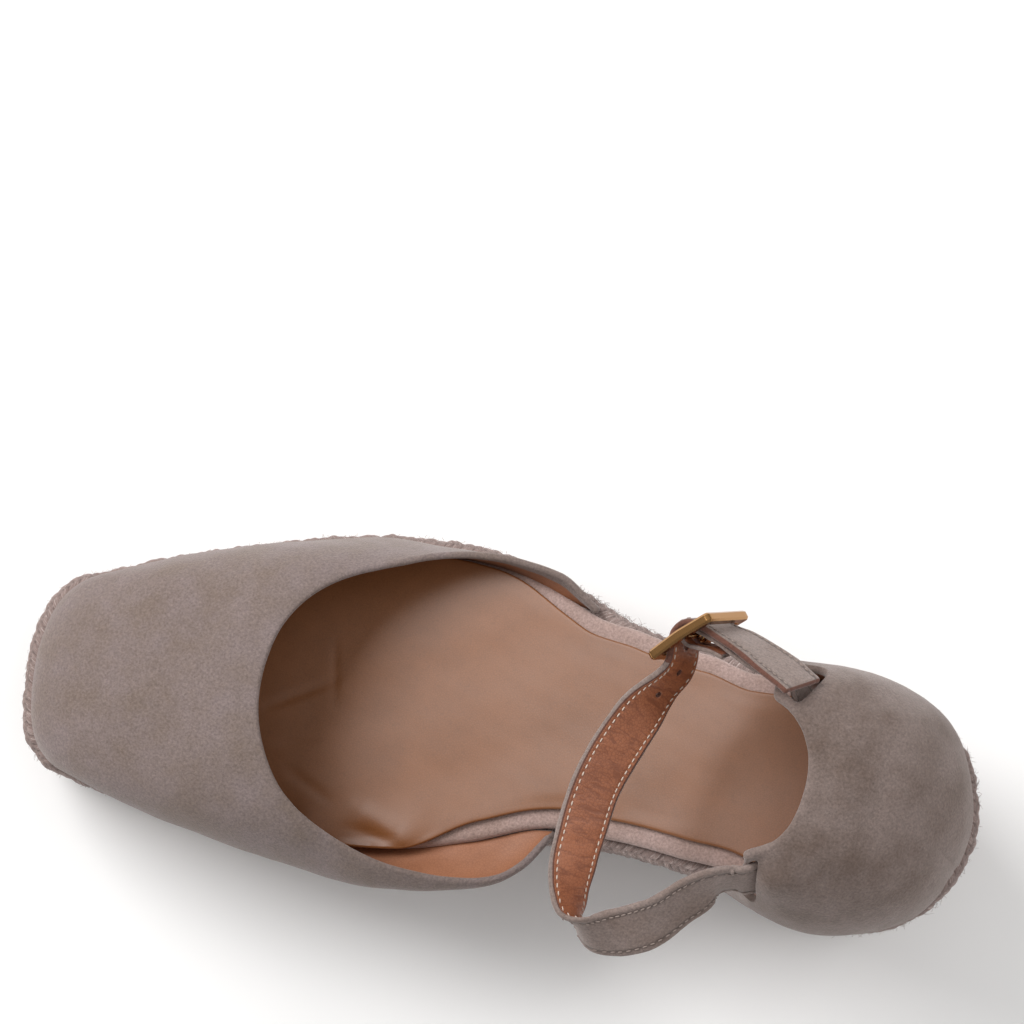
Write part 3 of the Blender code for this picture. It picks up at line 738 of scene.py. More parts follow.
def sheet(mid, normal, half, picks, holes=None, fields=None, line=None):
    """Sheet with rounded edges. picks are the materials of its front, back and edges; the first two
    may be grids over the cells. holes marks the cells that are cut away. line is the side, 0 or 1,
    and the material of a thin line round that face."""
    fields = fields or {}
    half = np.broadcast_to(half, mid.shape[:2])
    cells = np.concatenate([mid, normal, half[..., None], *(v[..., None] for v in fields.values())], -1)
    cells = lipped(lipped(cells, 0), 1)
    rows, cols = cells.shape[:2]
    shown = np.full((2, rows - 1, cols - 1), picks[2])
    if line:
        shown[line[0], LIP_STEPS - 1:rows - LIP_STEPS, LIP_STEPS - 1:cols - LIP_STEPS] = line[1]
    inner = (slice(LIP_STEPS, rows - 1 - LIP_STEPS), slice(LIP_STEPS, cols - 1 - LIP_STEPS))
    shown[0][inner] = picks[0]
    shown[1][inner] = picks[1]
    cut = np.zeros((rows - 1, cols - 1), bool)
    if holes is not None:
        cut[inner] = holes
    front = quads(rows, cols)
    back = quads(rows, cols, start=rows * cols)
    faces = [*front[~cut].tolist(), *back[~cut][:, ::-1].tolist()]
    face_picks = [*shown[0][~cut], *shown[1][~cut]]
    for i, j in np.argwhere(cut):
        for di, dj, a, b in ((0, -1, 0, 3), (-1, 0, 0, 1), (0, 1, 1, 2), (1, 0, 3, 2)):
            if cut[i + di, j + dj]:
                continue
            a, b = front[i, j][[a, b]]
            faces.append([a, b, b + rows * cols, a + rows * cols])
            face_picks.append(line[1] if line else picks[2])
    middle = cells[..., :3]
    thick = cells[..., 3:6] * cells[..., 6:7]
    points = np.concatenate([(middle + thick).reshape(-1, 3), (middle - thick).reshape(-1, 3)])
    values = {k: np.tile(cells[..., 7 + n].ravel(), 2) for n, k in enumerate(fields)}
    return {"points": points, "faces": faces, "picks": np.array(face_picks), "fields": values}


def slab(rings, across, shape_top=None, shape_bottom=None):
    """Slab from paired rings, bottom to top, its two faces spanned between the paired columns."""
    rings = np.array(rings)
    levels, count = rings.shape[:2]
    parts = [{"points": rings, "faces": quads(levels, count, wrap_cols=True).reshape(-1, 4).tolist()}]
    share = np.linspace(0.0, 1.0, across + 1)[None, :, None]
    for ring, shape in ((rings[0], shape_bottom), (rings[-1], shape_top)):
        near = ring[:count // 2, None]
        far = ring[count // 2:][::-1][:, None]
        grid = near + (far - near) * share
        if shape:
            grid = shape(grid)
        parts.append({"points": grid, "faces": quads(*grid.shape[:2]).reshape(-1, 4).tolist()})
    return parts


def cut_holes(u, v, holes):
    """Grids u and v with their lines drawn to the rims of holes, and the mask of cells inside.
    A hole is u, v, half u, half v, and how square its low and high u ends are."""
    u, v = np.array(u), np.array(v)
    mask = np.zeros((u.shape[0] - 1, u.shape[1] - 1), bool)
    for hu, hv, ru, rv, low, high in holes:
        def level(p, q):
            power = np.where(p < hu, low, high)
            reach = (np.abs(p - hu) / ru) ** power + (np.abs(q - hv) / rv) ** power
            return reach ** (1 / power)
        mid_u = (u[:-1, :-1] + u[1:, :-1] + u[:-1, 1:] + u[1:, 1:]) / 4
        mid_v = (v[:-1, :-1] + v[1:, :-1] + v[:-1, 1:] + v[1:, 1:]) / 4
        inside = level(mid_u, mid_v) < 1.0
        touched = np.zeros(u.shape, int)
        for di in (0, 1):
            for dj in (0, 1):
                touched[di:di + inside.shape[0], dj:dj + inside.shape[1]] += inside
        rim = (touched > 0) & (touched < 4)
        scale = 1 / np.maximum(level(u, v), 1e-6)
        u = np.where(rim, hu + (u - hu) * scale, u)
        v = np.where(rim, hv + (v - hv) * scale, v)
        mask |= inside
    return u, v, mask


# Materials

def wire(tree, made, values, links):
    """Give a node its socket values and incoming links."""
    for key, value in values.items():
        made.inputs[key].default_value = value
    for key, source in links.items():
        tree.links.new(source, made.inputs[key])


def node(tree, kind, values=None, links=None, out=0, **options):
    """Add a shader node with its options, socket values and incoming links, and give one output."""
    made = tree.nodes.new("ShaderNode" + kind)
    for key, value in options.items():
        setattr(made, key, value)
    wire(tree, made, values or {}, links or {})
    return made.outputs[out]


def blank(name):
    """New material, its tree and its Principled shader."""
    made = bpy.data.materials.new(name)
    made.use_nodes = True
    return made, made.node_tree, made.node_tree.nodes["Principled BSDF"]


def rgba(value):
    """Colour with full opacity."""
    return (*value, 1.0)


def per(size):
    """Texture scale, for coordinates in metres, of a feature size in millimetres."""
    return 1.0 / (size * MM)


# Inputs of a Mix node for colours, its share and its two colours, and what makes it one
SHARE, FIRST, SECOND = 0, 6, 7
COLOURS = {"data_type": "RGBA", "out": 2}

# Sizes of the patterns in millimetres
NAP = 0.62
SUEDE_PATCH = 13.0
LEATHER_CLOUD = 14.0
WIPING_MARK = 1.2
THREAD_TWIST = 0.3
CREPE_CRINKLE = 1.1

# Wrinkles of a worn strap for each millimetre along and across it
WRINKLES_ALONG = 0.8
WRINKLES_ACROSS = 0.18


def brushed_suede(name, main, brown, nap_depth=0.28, seam=False):
    """Split leather with a sanded nap: matt, soft to the light at grazing angles, clouded where it was
    stroked, and with painted shade in its stitch furrows. The nap is drawn about twice as coarse as the real
    one."""
    made, tree, shader = blank(name)
    place = {"Vector": node(tree, "TexCoord", out="Object")}
    patch = node(tree, "TexNoise", {"Scale": per(SUEDE_PATCH), "Detail": 5.0, "Roughness": 0.62}, place)
    share = node(tree, "MapRange", {"From Min": 0.36, "From Max": 0.64}, {"Value": patch})
    tone = node(tree, "Mix", {FIRST: rgba(main), SECOND: rgba(brown)}, {SHARE: share}, **COLOURS)
    nap = node(tree, "TexNoise", {"Scale": per(NAP), "Detail": 3.0, "Roughness": 0.7}, place)
    span = {"From Min": 0.25, "From Max": 0.75, "To Min": 0.66, "To Max": 1.32}
    level = node(tree, "MapRange", span, {"Value": nap})
    if seam:
        # Painted shade: the suede is darkened down to half its brightness in the stitch furrows
        furrow = node(tree, "Attribute", out="Fac", attribute_name="seam")
        dark = node(tree, "MapRange", {"To Min": 1.0, "To Max": 0.5}, {"Value": furrow})
        level = node(tree, "Math", links={0: level, 1: dark}, operation="MULTIPLY")
    tint = node(tree, "Mix", {SHARE: 1.0}, {FIRST: tone, SECOND: level}, blend_type="MULTIPLY", **COLOURS)
    bump = node(tree, "Bump", {"Strength": 0.7, "Distance": nap_depth * MM}, {"Height": nap})
    values = {
        "Roughness": 0.92,
        "Specular IOR Level": 0.2,
        "Sheen Weight": 0.34,
        "Sheen Roughness": 0.5,
        "Sheen Tint": (0.9, 0.84, 0.82, 1.0),
    }
    wire(tree, shader, values, {"Base Color": tint, "Normal": bump})
    return made


def drum_dyed_leather(name, main, grain_colour, grain=0.7, gloss=0.42, depth=0.05, wrinkled=False):
    """Smooth full-grain leather, dyed and lightly glazed: a fine pebble, pores darker than their rims, a
    soft gloss, and on a worn strap fine wrinkles across it, with painted shade in their hollows."""
    made, tree, shader = blank(name)
    place = {"Vector": node(tree, "TexCoord", out="Object")}
    height = node(tree, "TexVoronoi", {"Scale": per(grain)}, place, feature="DISTANCE_TO_EDGE")
    cloud = node(tree, "TexNoise", {"Scale": per(LEATHER_CLOUD), "Detail": 5.0, "Roughness": 0.6}, place)
    span = {"From Min": 0.0, "From Max": 0.12, "To Min": 0.35, "To Max": 0.0}
    pore = node(tree, "MapRange", span, {"Value": height})
    share = node(tree, "Math", links={0: pore, 1: cloud}, operation="ADD")
    if wrinkled:
        along = node(tree, "Attribute", out="Fac", attribute_name="strap_along")
        across = node(tree, "Attribute", out="Fac", attribute_name="strap_across")
        lengthwise = node(tree, "Math", {1: WRINKLES_ALONG}, {0: along}, operation="MULTIPLY")
        sideways = node(tree, "Math", {1: WRINKLES_ACROSS}, {0: across}, operation="MULTIPLY")
        where = node(tree, "CombineXYZ", links={"X": lengthwise, "Y": sideways})
        crumple = {"Scale": 1.0, "Detail": 3.0, "Roughness": 0.6, "Distortion": 0.6}
        fold = node(tree, "TexNoise", crumple, {"Vector": where})
        height = node(tree, "Math", {1: 4.0}, {0: fold, 2: height}, operation="MULTIPLY_ADD")
        # Painted shade: the hollows of the wrinkles are pushed towards the grain colour
        sunk = node(tree, "MapRange", {"From Min": 0.5, "From Max": 0.3, "To Max": 0.5}, {"Value": fold})
        share = node(tree, "Math", links={0: share, 1: sunk}, operation="ADD")
    level = node(tree, "MapRange", {"From Min": 0.4, "From Max": 0.95}, {"Value": share})
    tone = node(tree, "Mix", {FIRST: rgba(main), SECOND: rgba(grain_colour)}, {SHARE: level}, **COLOURS)
    bump = node(tree, "Bump", {"Strength": 0.6, "Distance": depth * MM}, {"Height": height})
    values = {"Roughness": gloss, "IOR": 1.5, "Coat Weight": 0.06, "Coat Roughness": 0.35}
    wire(tree, shader, values, {"Base Color": tone, "Normal": bump})
    return made


def spun_jute(settings):
    """Coarse bast fibre spun into strands: matt and streaked along each strand, with pale streaks as painted
    highlights and painted shade darkening the gaps between the strands."""
    made, tree, shader = blank("spun_jute")
    along = node(tree, "Attribute", out="Fac", attribute_name="fibre_along")
    across = node(tree, "Attribute", out="Fac", attribute_name="fibre_across")
    height = node(tree, "Attribute", out="Fac", attribute_name="strand")
    place = node(tree, "CombineXYZ", links={"X": along, "Y": across})
    fibre = node(tree, "TexNoise", {"Scale": 1.0, "Detail": 4.0, "Roughness": 0.65}, {"Vector": place})
    # Painted highlights: pale streaks drawn at random along the fibres
    light = node(tree, "MapRange", {"From Min": 0.5, "From Max": 0.72}, {"Value": fibre})
    tones = {FIRST: rgba(settings.rope), SECOND: rgba(settings.rope_highlight)}
    streak = node(tree, "Mix", tones, {SHARE: light}, **COLOURS)
    # Painted shade: where a strand sinks into its gap the colour turns to the gap colour
    sunk = node(tree, "MapRange", {"From Min": 0.65, "From Max": 0.1}, {"Value": height})
    gap = {SECOND: rgba(settings.rope_gap_shade)}
    tone = node(tree, "Mix", gap, {SHARE: sunk, FIRST: streak}, **COLOURS)
    bump = node(tree, "Bump", {"Strength": 0.9, "Distance": 0.25 * MM}, {"Height": fibre})
    wire(tree, shader, {"Roughness": 0.9, "Sheen Weight": 0.15}, {"Base Color": tone, "Normal": bump})
    return made


def gilt_brass(settings):
    """Polished brass with a thin gold plating: a mirror with faint wiping marks, its colour darkened as a
    painted reflection of dark surroundings.
    """
    made, tree, shader = blank("gilt_brass")
    place = {"Vector": node(tree, "TexCoord", out="Object")}
    wipe = node(tree, "TexNoise", {"Scale": per(WIPING_MARK), "Detail": 3.0}, place)
    matt = node(tree, "MapRange", {"To Min": 0.08, "To Max": 0.22}, {"Value": wipe})
    values = {"Base Color": rgba(settings.gilt), "Metallic": 1.0, "Roughness": 0.14}
    wire(tree, shader, values, {"Roughness": matt})
    return made


def waxed_thread(name, tint):
    """Twisted polyester thread with a wax finish: round, faintly glossy, ribbed by its twist."""
    made, tree, shader = blank(name)
    place = {"Vector": node(tree, "TexCoord", out="Object")}
    twist = node(tree, "TexNoise", {"Scale": per(THREAD_TWIST), "Detail": 2.0}, place)
    bump = node(tree, "Bump", {"Strength": 0.5, "Distance": 0.05 * MM}, {"Height": twist})
    wire(tree, shader, {"Base Color": rgba(tint), "Roughness": 0.6}, {"Normal": bump})
    return made


def moulded_crepe(settings):
    """Natural crepe rubber, pressed in a mould: dull, slightly crinkled, with a warm unevenness."""
    made, tree, shader = blank("moulded_crepe_rubber")
    place = {"Vector": node(tree, "TexCoord", out="Object")}
    crinkle = node(tree, "TexNoise", {"Scale": per(CREPE_CRINKLE), "Detail": 5.0, "Roughness": 0.6}, place)
    span = {"From Min": 0.3, "From Max": 0.7, "To Min": 0.82, "To Max": 1.12}
    shade = node(tree, "MapRange", span, {"Value": crinkle})
    base = {SHARE: 1.0, FIRST: rgba(settings.rubber)}
    tone = node(tree, "Mix", base, {SECOND: shade}, blend_type="MULTIPLY", **COLOURS)
    bump = node(tree, "Bump", {"Strength": 0.5, "Distance": 0.2 * MM}, {"Height": crinkle})
    wire(tree, shader, {"Roughness": 0.7, "IOR": 1.52}, {"Base Color": tone, "Normal": bump})
    return made


# Sole

# Rope: strands, depth, spacing of its sections, angle of the top course's plait, angles of the points of
# a section, how square it is, how far it stands proud of its course and the least height that is laid
STRANDS = 5
ROPE_DEPTH = 6.4
ROPE_STEP = 0.4
PLAIT_RIDGE = 49.0
ROPE_TURNS = (*range(0, 99, 14), 125, 180, 235, *range(262, 347, 14))
ROPE_SQUARE = 0.75
ROPE_PROUD = 0.2
LEAST_ROPE = 1.2

# Strands: shift of the two sides of the plait, how round each is, depth and half width of the dip between
# the two sides in radians
PLAIT_STAGGER = 0.25
STRAND_ROUND = 1.9
DIP_DEPTH = 0.5
DIP_WIDE = 0.12

# Unevenness of the rope, the size of its humps and its seed: strands shifted along it, wear into it
STRAND_SHIFT, SHIFT_SIZE, SHIFT_SEED = 0.2, 5.0, 41
ROPE_WEAR, WEAR_SIZE, WEAR_SEED = 0.22, 2.2, 43

# Jute fibres: length and width of a streak, and the offsets that keep strands and plait sides unlike
FIBRE_LENGTH = 5.0
FIBRE_WIDTH = 0.3
STRAND_OFFSET = 7.0
HAND_OFFSETS = (40.0, 3.0)

# Loose fibres: seed, points along and round one, its radius and how much of it is lost at the tip
FIBRE_SEED = 31
FIBRE_STEPS = 6
FIBRE_SIDES = 3
FIBRE_RADIUS = 0.06
FIBRE_TAPER = 0.6

# Filling behind the ropes: inset in the platform and in the wedge, and how far the platform's lies below
# the top
PLATFORM_CORE = 2.6
WEDGE_CORE = 3.4
CORE_DROP = 1.4

# Outsole: inset from the wedge's foot, rounding below, chamfer above, smooth border of the tread, width
# and reach of its zigzag, x of its ends and the two levels between which a groove's wall rises
OUTSOLE_INSET = 0.5
OUTSOLE_ROUND = 0.8
OUTSOLE_CHAMFER = 0.3
TREAD_BORDER = (5.0, 5.8)
ZIGZAG_WIDTH = 14.0
ZIGZAG_REACH = 5.0
TREAD_HEEL = (6.0, 8.0)
TREAD_TOE = (236.0, 233.0)
GROOVE_WALL = (0.62, 0.78)


def rope(path, out, height, settings, ridge, closed):
    """Plaited rope along a path that faces out, its strands mirrored about a ridge line at an angle from
    the side, with fields for the strand height and the run of the fibres."""
    step = np.linalg.norm(np.diff(path, axis=0, append=path[:1] if closed else path[-1:]), axis=1)
    run = np.concatenate([[0.0], np.cumsum(step)])
    spacing = settings.strand_spacing / MM
    if closed:
        spacing = run[-1] / round(run[-1] / spacing)
    run = run[:-1, None]
    turn = np.radians(ROPE_TURNS)[None, :]
    shift = STRAND_SHIFT * wander(path, SHIFT_SIZE, SHIFT_SEED)[:, None]
    beside = (turn - math.radians(ridge) + math.pi) % (2 * math.pi) - math.pi
    hand = np.where(beside < 0, -1.0, 1.0)
    strand = STRANDS * np.abs(beside) / (2 * math.pi) - run / spacing + shift + PLAIT_STAGGER * hand
    strand = strand % 1.0 - 0.5
    swell = np.sqrt(np.maximum(1 - (STRAND_ROUND * strand) ** 2, 0.0))
    swell = swell * (1 - DIP_DEPTH * np.exp(-(beside / DIP_WIDE) ** 2))
    sunk = settings.strand_relief / MM * (1 - swell)
    sunk = sunk + ROPE_WEAR * (1 + wander(path, WEAR_SIZE, WEAR_SEED)[:, None])
    x, y = (np.sign(k) * np.abs(k) ** ROPE_SQUARE for k in (np.cos(turn), np.sin(turn)))
    tall = np.broadcast_to(np.reshape(height, (-1, 1)), run.shape)
    wide, high = (size / 2 + ROPE_PROUD - sunk for size in (ROPE_DEPTH, tall))
    section = np.stack([x * wide, y * np.maximum(high, ROPE_PROUD)], -1)
    # The strand field also sets the painted shade between the strands in the jute's colour
    fields = {
        "strand": swell,
        "fibre_along": (run + strand * spacing) / FIBRE_LENGTH + hand * HAND_OFFSETS[0],
        "fibre_across": strand * spacing / FIBRE_WIDTH + np.floor(run / spacing) * STRAND_OFFSET
        + hand * HAND_OFFSETS[1],
    }
    side = np.column_stack([out, np.zeros(len(out))])
    up = np.broadcast_to(UP, path.shape)
    return tube(path, side, up, section, closed, fields)


def core(t, inset, low, high):
    """Plain filling behind the ropes."""
    flat, _ = edge(t, inset)
    shares = np.linspace(0.0, 1.0, 5)
    return slab([np.column_stack([flat, low + (high - low) * share]) for share in shares], 6)


class ESPADRILLE_OT_outsole(bpy.types.Operator):
    """Build the crepe outsole with its tread"""

    bl_idname = "espadrille.outsole"
    bl_label = "Outsole"

    def execute(self, context):
        settings = context.scene.espadrille.sole
        t = paired_edge(380)
        inset = low_inset(t) + OUTSOLE_INSET
        pitch = settings.tread_pitch / MM
        deep = settings.tread_depth / MM

        def ring(more, lift):
            flat, _ = edge(t, inset + more)
            return np.column_stack([flat, sole_z(flat[:, 0]) + lift])

        def tread(grid):
            x, y = grid[..., 0], grid[..., 1]
            zigzag = np.abs((y / ZIGZAG_WIDTH) % 2.0 - 1.0) * ZIGZAG_REACH
            groove = np.abs(((x + zigzag) / pitch) % 1.0 - 0.5) * 2.0
            rim = np.minimum(y - y.min(axis=1, keepdims=True), y.max(axis=1, keepdims=True) - y)
            inside = ramp(rim, *TREAD_BORDER) * ramp(x, *TREAD_HEEL) * ramp(x, *TREAD_TOE)
            grid[..., 2] = sole_z(x) + deep * ramp(groove, *GROOVE_WALL) * inside
            return grid

        turns = np.linspace(0.0, math.pi / 2, 4)
        rings = [ring(OUTSOLE_ROUND * (1 - math.sin(a)), OUTSOLE_ROUND * (1 - math.cos(a))) for a in turns]
        rings += [ring(0.0, 2.2), ring(0.0, OUTSOLE - OUTSOLE_CHAMFER), ring(OUTSOLE_CHAMFER, OUTSOLE)]
        parts = slab(rings, 96, shape_bottom=tread)
        piece("crepe_outsole", parts, [moulded_crepe(settings)], "outsole")
        return {"FINISHED"}


class ESPADRILLE_OT_rope_sole(bpy.types.Operator):
    """Lay the jute rope courses of the platform and the wedge, with their loose fibres"""

    bl_idname = "espadrille.rope_sole"
    bl_label = "Rope sole"

    def execute(self, context):
        settings = context.scene.espadrille.sole
        jute = spun_jute(settings)
        self.platform(settings, jute)
        self.wedge(settings, jute)
        self.fibres(jute)
        return {"FINISHED"}

    def platform(self, settings, jute):
        t = even_edge(ROPE_STEP)
        x = edge_x(t)
        low, high = under_z(x), top_z(x)
        parts = []
        for k in range(PLATFORM_COURSES):
            share = (k + 0.5) / PLATFORM_COURSES
            flat, out = edge(t, ROPE_DEPTH / 2 + COURSE_INSET * (1 - share))
            path = np.column_stack([flat, low + (high - low) * share])
            ridge = PLAIT_RIDGE if k == PLATFORM_COURSES - 1 else 0.0
            parts.append(rope(path, out, (high - low) / PLATFORM_COURSES, settings, ridge, True))
        t = paired_edge(120)
        x = edge_x(t)
        parts += core(t, PLATFORM_CORE, under_z(x) + 0.2, top_z(x) - CORE_DROP)
        piece("rope_platform", parts, [jute], "jute_midsole")

    def wedge(self, settings, jute):
        start = edge_at(-1, WEDGE_TIP_X - 6.0)
        end = edge_at(1, WEDGE_TIP_X - 6.0) - 2 * HALF
        t = even_edge(ROPE_STEP, end, start)
        roof = top_z(edge_x(t)) - PLATFORM - GAP
        foot = OUTSOLE + GAP
        parts = []
        for k in range(int(np.ceil((roof.max() - foot) / WEDGE_COURSE))):
            low = foot + k * WEDGE_COURSE
            height = np.minimum(roof - low, WEDGE_COURSE)
            used = height > LEAST_ROPE
            z = low + height / 2
            flat, out = edge(t, ROPE_DEPTH / 2 + COURSE_INSET + HEEL_TAPER * (roof - z) / TAPER_HEIGHT)
            path = np.column_stack([flat, z])
            parts.append(rope(path[used], out[used], height[used], settings, 0.0, False))
        half = np.linspace(0.0, edge_at(-1, WEDGE_TIP_X - 8.0), 90)
        t = np.concatenate([half, -half[::-1]])
        roof = top_z(edge_x(t)) - PLATFORM - GAP
        inset = WEDGE_CORE + HEEL_TAPER * (roof - foot) / TAPER_HEIGHT
        parts += core(t, inset, np.full(len(t), foot + 0.1), roof - 0.1)
        piece("rope_wedge", parts, [jute], "jute_wedge")

    def fibres(self, jute):
        rng = np.random.default_rng(FIBRE_SEED)
        f = np.linspace(0.0, 1.0, FIBRE_STEPS)[:, None]
        turn = np.arange(FIBRE_SIDES) / FIBRE_SIDES * 2 * math.pi
        radius = FIBRE_RADIUS * (1 - FIBRE_TAPER * f)[:, :, None]
        section = np.stack([np.cos(turn), np.sin(turn)], -1)[None] * radius
        ones = np.ones(FIBRE_STEPS * FIBRE_SIDES)
        parts = []
        # From and to along the edge, number and length of the fibres
        places = [
            (edge_at(-1, 84.0), edge_at(-1, 110.0), 220, 1.3),
            (edge_at(1, 46.0) - 2 * HALF, edge_at(-1, 30.0), 200, 1.3),
            (0.0, 2.0 * HALF, 900, 0.8),
        ]
        for start, end, count, reach in places:
            t = rng.uniform(start, end, count)
            base, out = edge(t, rng.uniform(0.2, 1.6, count))
            high = top_z(base[:, 0]) - rng.uniform(0.1, 5.0, count)
            tangent = np.column_stack([-out[:, 1], out[:, 0]])
            for i in range(count):
                size = reach * rng.uniform(0.5, 1.3)
                lean = rng.normal(0.0, 1.0)
                way = np.array([*(out[i] * 0.9 + tangent[i] * lean), rng.normal(0.15, 0.4)])
                bend = np.array([*(tangent[i] * rng.normal(0.0, 1.2)), rng.normal(-0.2, 0.6)])
                path = np.array([*base[i], high[i]]) + size * (unit(way) * f + bend * 0.5 * f * f)
                run = unit(np.gradient(path, axis=0))
                side = unit(np.cross(run, [0.3, 0.2, 1.0]))
                fields = {"strand": ones, "fibre_along": ones * i * 0.37, "fibre_across": ones * i * 1.7}
                parts.append(tube(path, side, np.cross(side, run), section, fields=fields))
        piece("loose_jute_fibres", parts, [jute])


# Footbed: height of the welt line and how far it steps back, rounding of the board's and the sock's edge
# as inset and height
WELT = 0.9
WELT_STEP = 0.7
BOARD_ROUND = (2.2, 2.0)
SOCK_ROUND = (0.6, 0.5)

# Puckers along the sock's inner edge: where they begin and end along the foot, and how far in they reach
PUCKER_BACK = (128.0, 145.0)
PUCKER_FRONT = (182.0, 168.0)
PUCKER_REACH = 6.0

# Hollows of the sock under the ball and the heel: x, y, reach along and across, depth
SOCK_DENTS = (
    (168.0, -6.0, 24.0, 20.0, 0.7),
    (34.0, 0.0, 18.0, 14.0, 0.6),
)


def bed_ring(t, inset, ease, height):
    """Ring round the footbed at an inset from its edge and a height above the platform."""
    flat, _ = edge(t, end_inset(t, inset) - ease)
    return np.column_stack([flat, top_z(flat[:, 0]) + height])


def bed_rounding(t, inset, ease, height, size):
    """Rings of a rounded upper edge that ends at a height."""
    turns = np.linspace(0.0, math.pi / 2, 6)
    return [
        bed_ring(t, inset + size[0] * (1 - math.cos(a)), ease, height - size[1] + size[1] * math.sin(a))
        for a in turns
    ]


class ESPADRILLE_OT_footbed(bpy.types.Operator):
    """Build the suede-wrapped board and the leather sock on it"""

    bl_idname = "espadrille.footbed"
    bl_label = "Footbed"

    def execute(self, context):
        settings = context.scene.espadrille.footbed
        t = paired_edge(320)
        self.board(settings, t)
        self.sock(settings, t)
        return {"FINISHED"}

    def board(self, settings, t):
        ease = waist_ease(t)
        rings = [bed_ring(t, BOARD_INSET + WELT_STEP, ease, GAP), bed_ring(t, BOARD_INSET, ease, GAP + WELT)]
        rings += bed_rounding(t, BOARD_INSET, ease, GAP + BOARD, BOARD_ROUND)
        suede = brushed_suede("wrapped_board_suede", settings.band, settings.band_brown)
        # The thin ring stepped back under the board wrap is coloured dark as painted shade of the gap above
        # the rope
        welt_shade = drum_dyed_leather("welt_leather_painted_shade", settings.welt_shade, settings.welt_shade, 0.6, 0.5)
        parts = slab(rings, 10)
        parts[0]["picks"] = np.repeat([1] + [0] * (len(rings) - 2), len(t))
        piece("suede_board_wrap", parts, [suede, welt_shade], "insole_board")

    def sock(self, settings, t):
        ease = waist_ease(t) + ball_ease(t)
        low = GAP + BOARD + GAP
        pucker = settings.pucker / MM

        def shaped(grid):
            x, y = grid[..., 0], grid[..., 1]
            from_inner = y.max(axis=1, keepdims=True) - y
            from_outer = y - y.min(axis=1, keepdims=True)
            near = np.minimum(from_inner, from_outer)
            ball = ramp(x, *PUCKER_BACK) * ramp(x, *PUCKER_FRONT)
            folds = np.sin(x / 3.1 + 0.9 * np.sin(x / 7.0)) * np.exp(-(from_inner / PUCKER_REACH) ** 2)
            grid[..., 2] += pucker * folds * ball * ramp(near, 0.0, 1.2)
            lift = 0.12 * wander(grid, 16.0, 5) + 0.012 * wander(grid, 3.5, 6)
            for mid_x, mid_y, along, across, deep in SOCK_DENTS:
                lift -= deep * np.exp(-((x - mid_x) / along) ** 2 - ((y - mid_y) / across) ** 2)
            grid[..., 2] += lift * ramp(near, 0.0, 4.0)
            return creased(grid, SOCK_CREASES, UP)

        rings = [bed_ring(t, SOCK_INSET, ease, low)]
        rings += bed_rounding(t, SOCK_INSET, ease, low + SOCK, SOCK_ROUND)
        leather = drum_dyed_leather("glazed_sock_leather", settings.sock, settings.sock_dark, 0.6, 0.42, 0.03)
        piece("leather_sock", slab(rings, 72, shape_top=shaped), [leather], "insole_sock")


# Upper

# How far down the suede is turned over inside the rim
RIM = 2.3

# Where the inner slot's visible rim ends, in rib steps: the soft wall behind lies on the strap
INNER_END = 1.14

# Wings of the vamp: where each begins and ends along the foot, and how far it is moved
OUTER_WING = ((98.0, 112.0), (160.0, 140.0))
INNER_WING = ((98.0, 108.0), (200.0, 185.0))
OUTER_FOOT_IN = 2.0
OUTER_RIM_OUT = 1.9
INNER_FOOT_IN = 1.7


def wing_lean(grid, b):
    """How far the wings of the vamp stand in at their feet, against the board, and the outer one leans
    out at its rim, which shows the lining from above."""
    x = grid[..., 0]
    outer, inner = (ramp(x, *back) * ramp(x, *front) for back, front in (OUTER_WING, INNER_WING))
    outer = outer * (OUTER_FOOT_IN * (1.0 - b) ** 2 - OUTER_RIM_OUT * b ** 2)
    inner = inner * -INNER_FOOT_IN * (1.0 - b) ** 3
    return np.where(grid[..., 1] < 0, outer, inner)


def upper(rows, a, b, creases, lean=None, holes=None, roll=0.0):
    """Sheet of an upper on grids of rib steps and rise fractions: suede outside, lining inside."""
    outer = rib_surface(rows, a, b)
    if lean:
        outer[..., 1] += lean(outer, b)
    outer = creased(outer, creases)
    normal = facing(outer)
    outer = outer + normal * (0.18 * wander(outer, 15.0, 11) + 0.05 * wander(outer, 4.0, 12))[..., None]
    step = np.linalg.norm(np.diff(outer, axis=1), axis=-1)
    rise = np.concatenate([np.zeros((len(outer), 1)), np.cumsum(step, axis=1)], axis=1)
    below = rise[:, -1:] - rise
    half = WALL / 2 + roll * np.exp(-(below / 3.0) ** 2)
    lining = np.where((below[:-1, :-1] + below[1:, 1:]) / 2 < RIM, 0, 1)
    return sheet(outer - normal * WALL / 2, normal, half, (0, lining, 0), holes)


def lining_leather(name, settings):
    """Lining of the vamp or the counter."""
    return drum_dyed_leather(name, settings.lining, settings.lining_dark, 0.8, 0.5, 0.06)


class ESPADRILLE_OT_vamp(bpy.types.Operator):
    """Build the suede vamp with its lining and folded throat edge"""

    bl_idname = "espadrille.vamp"
    bl_label = "Vamp"

    def execute(self, context):
        settings = context.scene.espadrille.upper
        last = len(VAMP_ROWS) - 1
        a, b = np.linspace(0.0, last, last * 15 + 1), np.linspace(0.0, 0.99, 64)
        grid = upper(VAMP_ROWS, *np.meshgrid(a, b, indexing="ij"), VAMP_CREASES, wing_lean)
        suede = brushed_suede("brushed_vamp_suede", settings.vamp, settings.vamp_brown)
        lining = lining_leather("dyed_lining_leather", settings)
        piece("suede_vamp", [grid], [suede, lining], "vamp")
        return {"FINISHED"}


